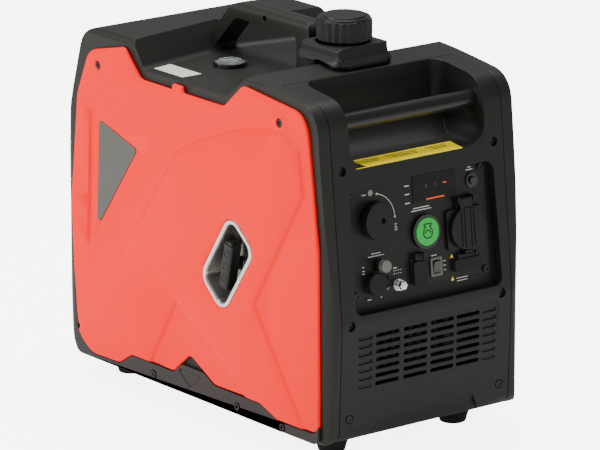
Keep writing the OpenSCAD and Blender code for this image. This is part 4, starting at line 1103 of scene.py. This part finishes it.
@dataclass
class StarterRecess:
    """The lined diamond recess with the starter grip and its cord."""

    corners: tuple[tuple[float, float], ...] = ((-122, 224), (-63, 137), (-19, 176), (-76, 262))
    corner_r: float = 18.0
    # Each pair is a distance in from the opening's edge and a depth below the panel's face, in millimetres
    lip: tuple[tuple[float, float], ...] = (
        (0.35, 5.0), (0.35, 1.0), (0.8, 0.35), (1.6, 0.1), (4.2, 0.1), (5.0, 0.4), (5.5, 1.2), (5.9, 3.0))
    bowl: tuple[tuple[float, float], ...] = (
        (5.95, 3.0), (8.0, 9.0), (11.0, 17.0), (13.0, 21.5), (15.5, 23.8), (18.5, 24.4))
    back: tuple[tuple[float, float], ...] = ((3.0, 5.0), (8.0, 20.0), (13.0, 26.6))
    guide_r: float = 6.5
    # The grip's lean from upright, in degrees
    grip_lean: float = 12.0

    def build(self) -> None:
        """Builds the lip, the bowl, the cord's guide, the grip and the cord."""
        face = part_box("left_side_panel")[0].x / MM
        lip = loft("recess_lip", [self._ring(d, face + x) for d, x in (*self.lip, (3.0, 3.0), (3.0, 5.0))],
                   capped=False)
        self._close(lip)
        smooth(lip)
        present(lip, Finishes.SILVER, "root", ["recoil_cup"])
        bowl = loft("recess_bowl", [self._ring(d, face + x) for d, x in (*self.bowl[::-1], *self.back)])
        smooth(bowl)
        present(bowl, Finishes.BOWL, "root")
        self._guide()
        self._grip()
        self._cord()

    def _ring(self, inward: float, x: float) -> list[Point]:
        """The diamond drawn in by a distance, at one depth, in metres."""
        return [(x * MM, y * MM, z * MM) for y, z in round_corners(self.corners, self.corner_r, inward)]

    def _close(self, obj: bpy.types.Object) -> None:
        """Bridges the lip's two open ends into a closed ring.

        Args:
            obj: The open lip.
        """
        activate(obj)
        bpy.ops.object.mode_set(mode="EDIT")
        bpy.ops.mesh.select_mode(type="EDGE")
        bpy.ops.mesh.select_all(action="DESELECT")
        bpy.ops.mesh.select_non_manifold()
        bpy.ops.mesh.bridge_edge_loops()
        bpy.ops.mesh.select_all(action="SELECT")
        bpy.ops.mesh.normals_make_consistent(inside=False)
        deselect()

    def _guide(self) -> None:
        """A black ring that the cord runs through, on the bowl's floor."""
        low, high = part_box("starter_rope")
        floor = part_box("left_side_panel")[0].x + self.bowl[-1][1] * MM
        deselect()
        bpy.ops.mesh.primitive_torus_add(
            location=(floor, (low.y + high.y) / 2, (low.z + high.z) / 2), rotation=(0, math.pi / 2, 0),
            major_segments=32, minor_segments=10, major_radius=self.guide_r * MM, minor_radius=2.0 * MM)
        ring = join("cord_guide", [bpy.context.active_object])
        smooth(ring)
        present(ring, Finishes.GLOSS, "root")

    def _grip(self) -> None:
        """The moulded grip, with a raised rim and finger rings on its face."""
        grip = copy_of_node("starter_grip", "starter_grip_moulded")
        bevel(grip, 2.2, 4, 40)
        smooth(grip, math.radians(40))
        present(grip, Finishes.KNOB, "grip", ["starter_grip"])
        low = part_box("starter_grip")[0]
        rope_low, rope_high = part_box("starter_rope")
        centre = Vector((low.x, (rope_low.y + rope_high.y) / 2, (rope_low.z + rope_high.z) / 2))
        lean = math.radians(self.grip_lean)
        rings = []
        for along in (-15, 0, 15):
            deselect()
            spot = centre + Vector((0.15 * MM, -math.sin(lean) * along * MM, math.cos(lean) * along * MM))
            bpy.ops.mesh.primitive_torus_add(location=spot, rotation=(0, math.pi / 2, 0), major_segments=28,
                                             minor_segments=8, major_radius=4.6 * MM, minor_radius=0.6 * MM)
            rings.append(bpy.context.active_object)
        marks = join("starter_grip_rings", rings)
        smooth(marks)
        present(marks, Finishes.KNOB, "grip")

    def _cord(self) -> None:
        """The cord from the grip to the pulley."""
        low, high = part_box("starter_rope")
        y, z, radius = (low.y + high.y) / 2, (low.z + high.z) / 2, (high.y - low.y) / 2
        stations = 90
        rings = []
        for k in range(stations + 1):
            x = low.x + (high.x - low.x) * k / stations
            swell = radius * (1 - 0.04 * (k % 2))
            rings.append([(x, y + swell * math.cos(a * math.pi / 8), z + swell * math.sin(a * math.pi / 8))
                          for a in range(16)])
        cord = loft("starter_cord", rings)
        smooth(cord, math.radians(60))
        cord.data.materials.append(Finishes.get(Finishes.ROPE))
        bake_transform(cord)
        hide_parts("starter_rope")


@dataclass
class Labels:
    """Plain labels, and the badge plates in the side panels' recesses."""

    def build(self) -> None:
        """Lays each label on its surface."""
        self._pocket()
        self._basin()
        self._badges()
        self._dial()

    def _pocket(self) -> None:
        """A yellow label on the pocket's floor, with plain dark bars."""
        floor = 336.0
        label = Ink("pocket_label", Finishes.YELLOW_LABEL, "case_plastic", 0.15)
        label.polygon(Matrix.Translation((0, 0, (floor + 0.05) * MM)),
                      [(-90, -236), (62, -236), (70, -204), (-90, -204)])
        label.build()
        marks = Ink("pocket_label_bars", Finishes.GREY_INK, "case_plastic", 0.06)
        for x, width in ((-60, 40), (-8, 46), (42, 30)):
            for row in range(3):
                spot = Vector((x, -209.5 - row * 5, floor + 0.21)) * MM
                marks.bar(Matrix.Translation(spot), width - row * 5, 1.6)
        marks.build()

    def _basin(self) -> None:
        """A white data label in the basin, with grey lines."""
        top = 393.0
        label = Ink("basin_label", Finishes.WHITE_LABEL, "case_plastic", 0.15)
        label.bar(Matrix.Translation(Vector((-113, 68, top + 0.05)) * MM), 27, 66)
        label.build()
        marks = Ink("basin_label_bars", Finishes.GREY_INK, "case_plastic", 0.06)
        for k in range(4):
            marks.bar(Matrix.Translation(Vector((-122 + k * 6, 68, top + 0.21)) * MM), 0.7, 54 - 8 * (k % 2))
        marks.build()

    def _badges(self) -> None:
        """A blank grey triangular plate on each side panel."""
        plate = Ink("badge_plates", Finishes.BADGE, "silver", 0.9)
        for side in (-1, 1):
            x = side * (abs(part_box("left_side_panel")[0].x) - BADGE_SINK_MM * MM)
            turn = Matrix(((0, 0, side, x), (1, 0, 0, 0), (0, 1, 0, 0), (0, 0, 0, 1)))
            plate.polygon(turn, round_corners(((103, 296), (183, 187), (177, 318)), 4))
        plate.build()

    def _dial(self) -> None:
        """The fuel gauge's dial: a white half face and short strokes under the lens."""
        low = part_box("gauge_needle")[0]
        pivot = Vector(joint("gauge_float")["pos_m"])
        dial = Ink("gauge_dial", Finishes.WHITE_INK, "gloss_black", 0.04)
        place = Matrix.Translation((pivot.x, pivot.y, low.z - 0.08 * MM))
        dial.polygon(place, arc(0, 0, 15.5, -20, 110, 18) + arc(0, 0, 9.5, 110, -20, 18))
        dial.build()


@dataclass
class Studio:
    """The camera, the pale floor and the soft lights."""

    aim: tuple[float, float, float] = (0.0, 0.005, 0.210)
    back: tuple[float, float, float] = (-0.5924, -0.7601, 0.2670)
    distance: float = 5.711
    lens_mm: float = 296.7
    shift: tuple[float, float] = (0.022, -0.008)

    def build(self) -> None:
        """Sets up the camera, the floor and the lights."""
        self._camera()
        self._floor()
        self._lights()

    def _camera(self) -> None:
        """A long lens from the front left, a little above."""
        camera = bpy.data.cameras.new("camera")
        camera.lens = self.lens_mm
        camera.sensor_width = 36
        camera.shift_x, camera.shift_y = self.shift
        camera.clip_end = 100
        obj = bpy.data.objects.new("camera", camera)
        bpy.context.scene.collection.objects.link(obj)
        back = Vector(self.back).normalized()
        obj.location = Vector(self.aim) + back * self.distance
        obj.rotation_euler = (-back).to_track_quat("-Z", "Y").to_euler()
        bpy.context.scene.camera = obj

    def _floor(self) -> None:
        """A plain pale floor."""
        deselect()
        bpy.ops.mesh.primitive_plane_add(size=30, location=(0, 0, 0))
        floor = bpy.context.active_object
        floor.name = "floor"
        floor.data.materials.append(Finishes.get(Finishes.FLOOR))

    def _lights(self) -> None:
        """A broad key from the upper left, a fill from the front right and a bright, even sky."""
        world = bpy.data.worlds.new("sky")
        bpy.context.scene.world = world
        world.use_nodes = True
        world.node_tree.nodes["Background"].inputs[0].default_value = (1, 1, 1, 1)
        world.node_tree.nodes["Background"].inputs[1].default_value = 0.32
        for name, place, size, power in (
            ("key", (-2.7, 1.2, 2.2), 1.5, 125), ("side", (-3.2, -0.9, 0.9), 1.8, 28),
            ("fill", (0.6, -3.4, 1.2), 1.6, 18), ("top", (0.4, 0.4, 3.2), 1.8, 115),
        ):
            lamp = bpy.data.lights.new(name, "AREA")
            lamp.energy, lamp.size = power, size
            obj = bpy.data.objects.new(name, lamp)
            bpy.context.scene.collection.objects.link(obj)
            obj.location = place
            obj.rotation_euler = (Vector((0, 0, 0.2)) - Vector(place)).to_track_quat("-Z", "Y").to_euler()


def main() -> None:
    """Builds the scene in order and reports each piece."""
    logging.basicConfig(level=logging.INFO, format="%(message)s")
    Studio().build()
    dress_frame()
    Case().build()
    SidePanels().build()
    ControlPanel().build()
    StarterRecess().build()
    Labels().build()


if __name__ == "__main__":
    main()
    deselect()
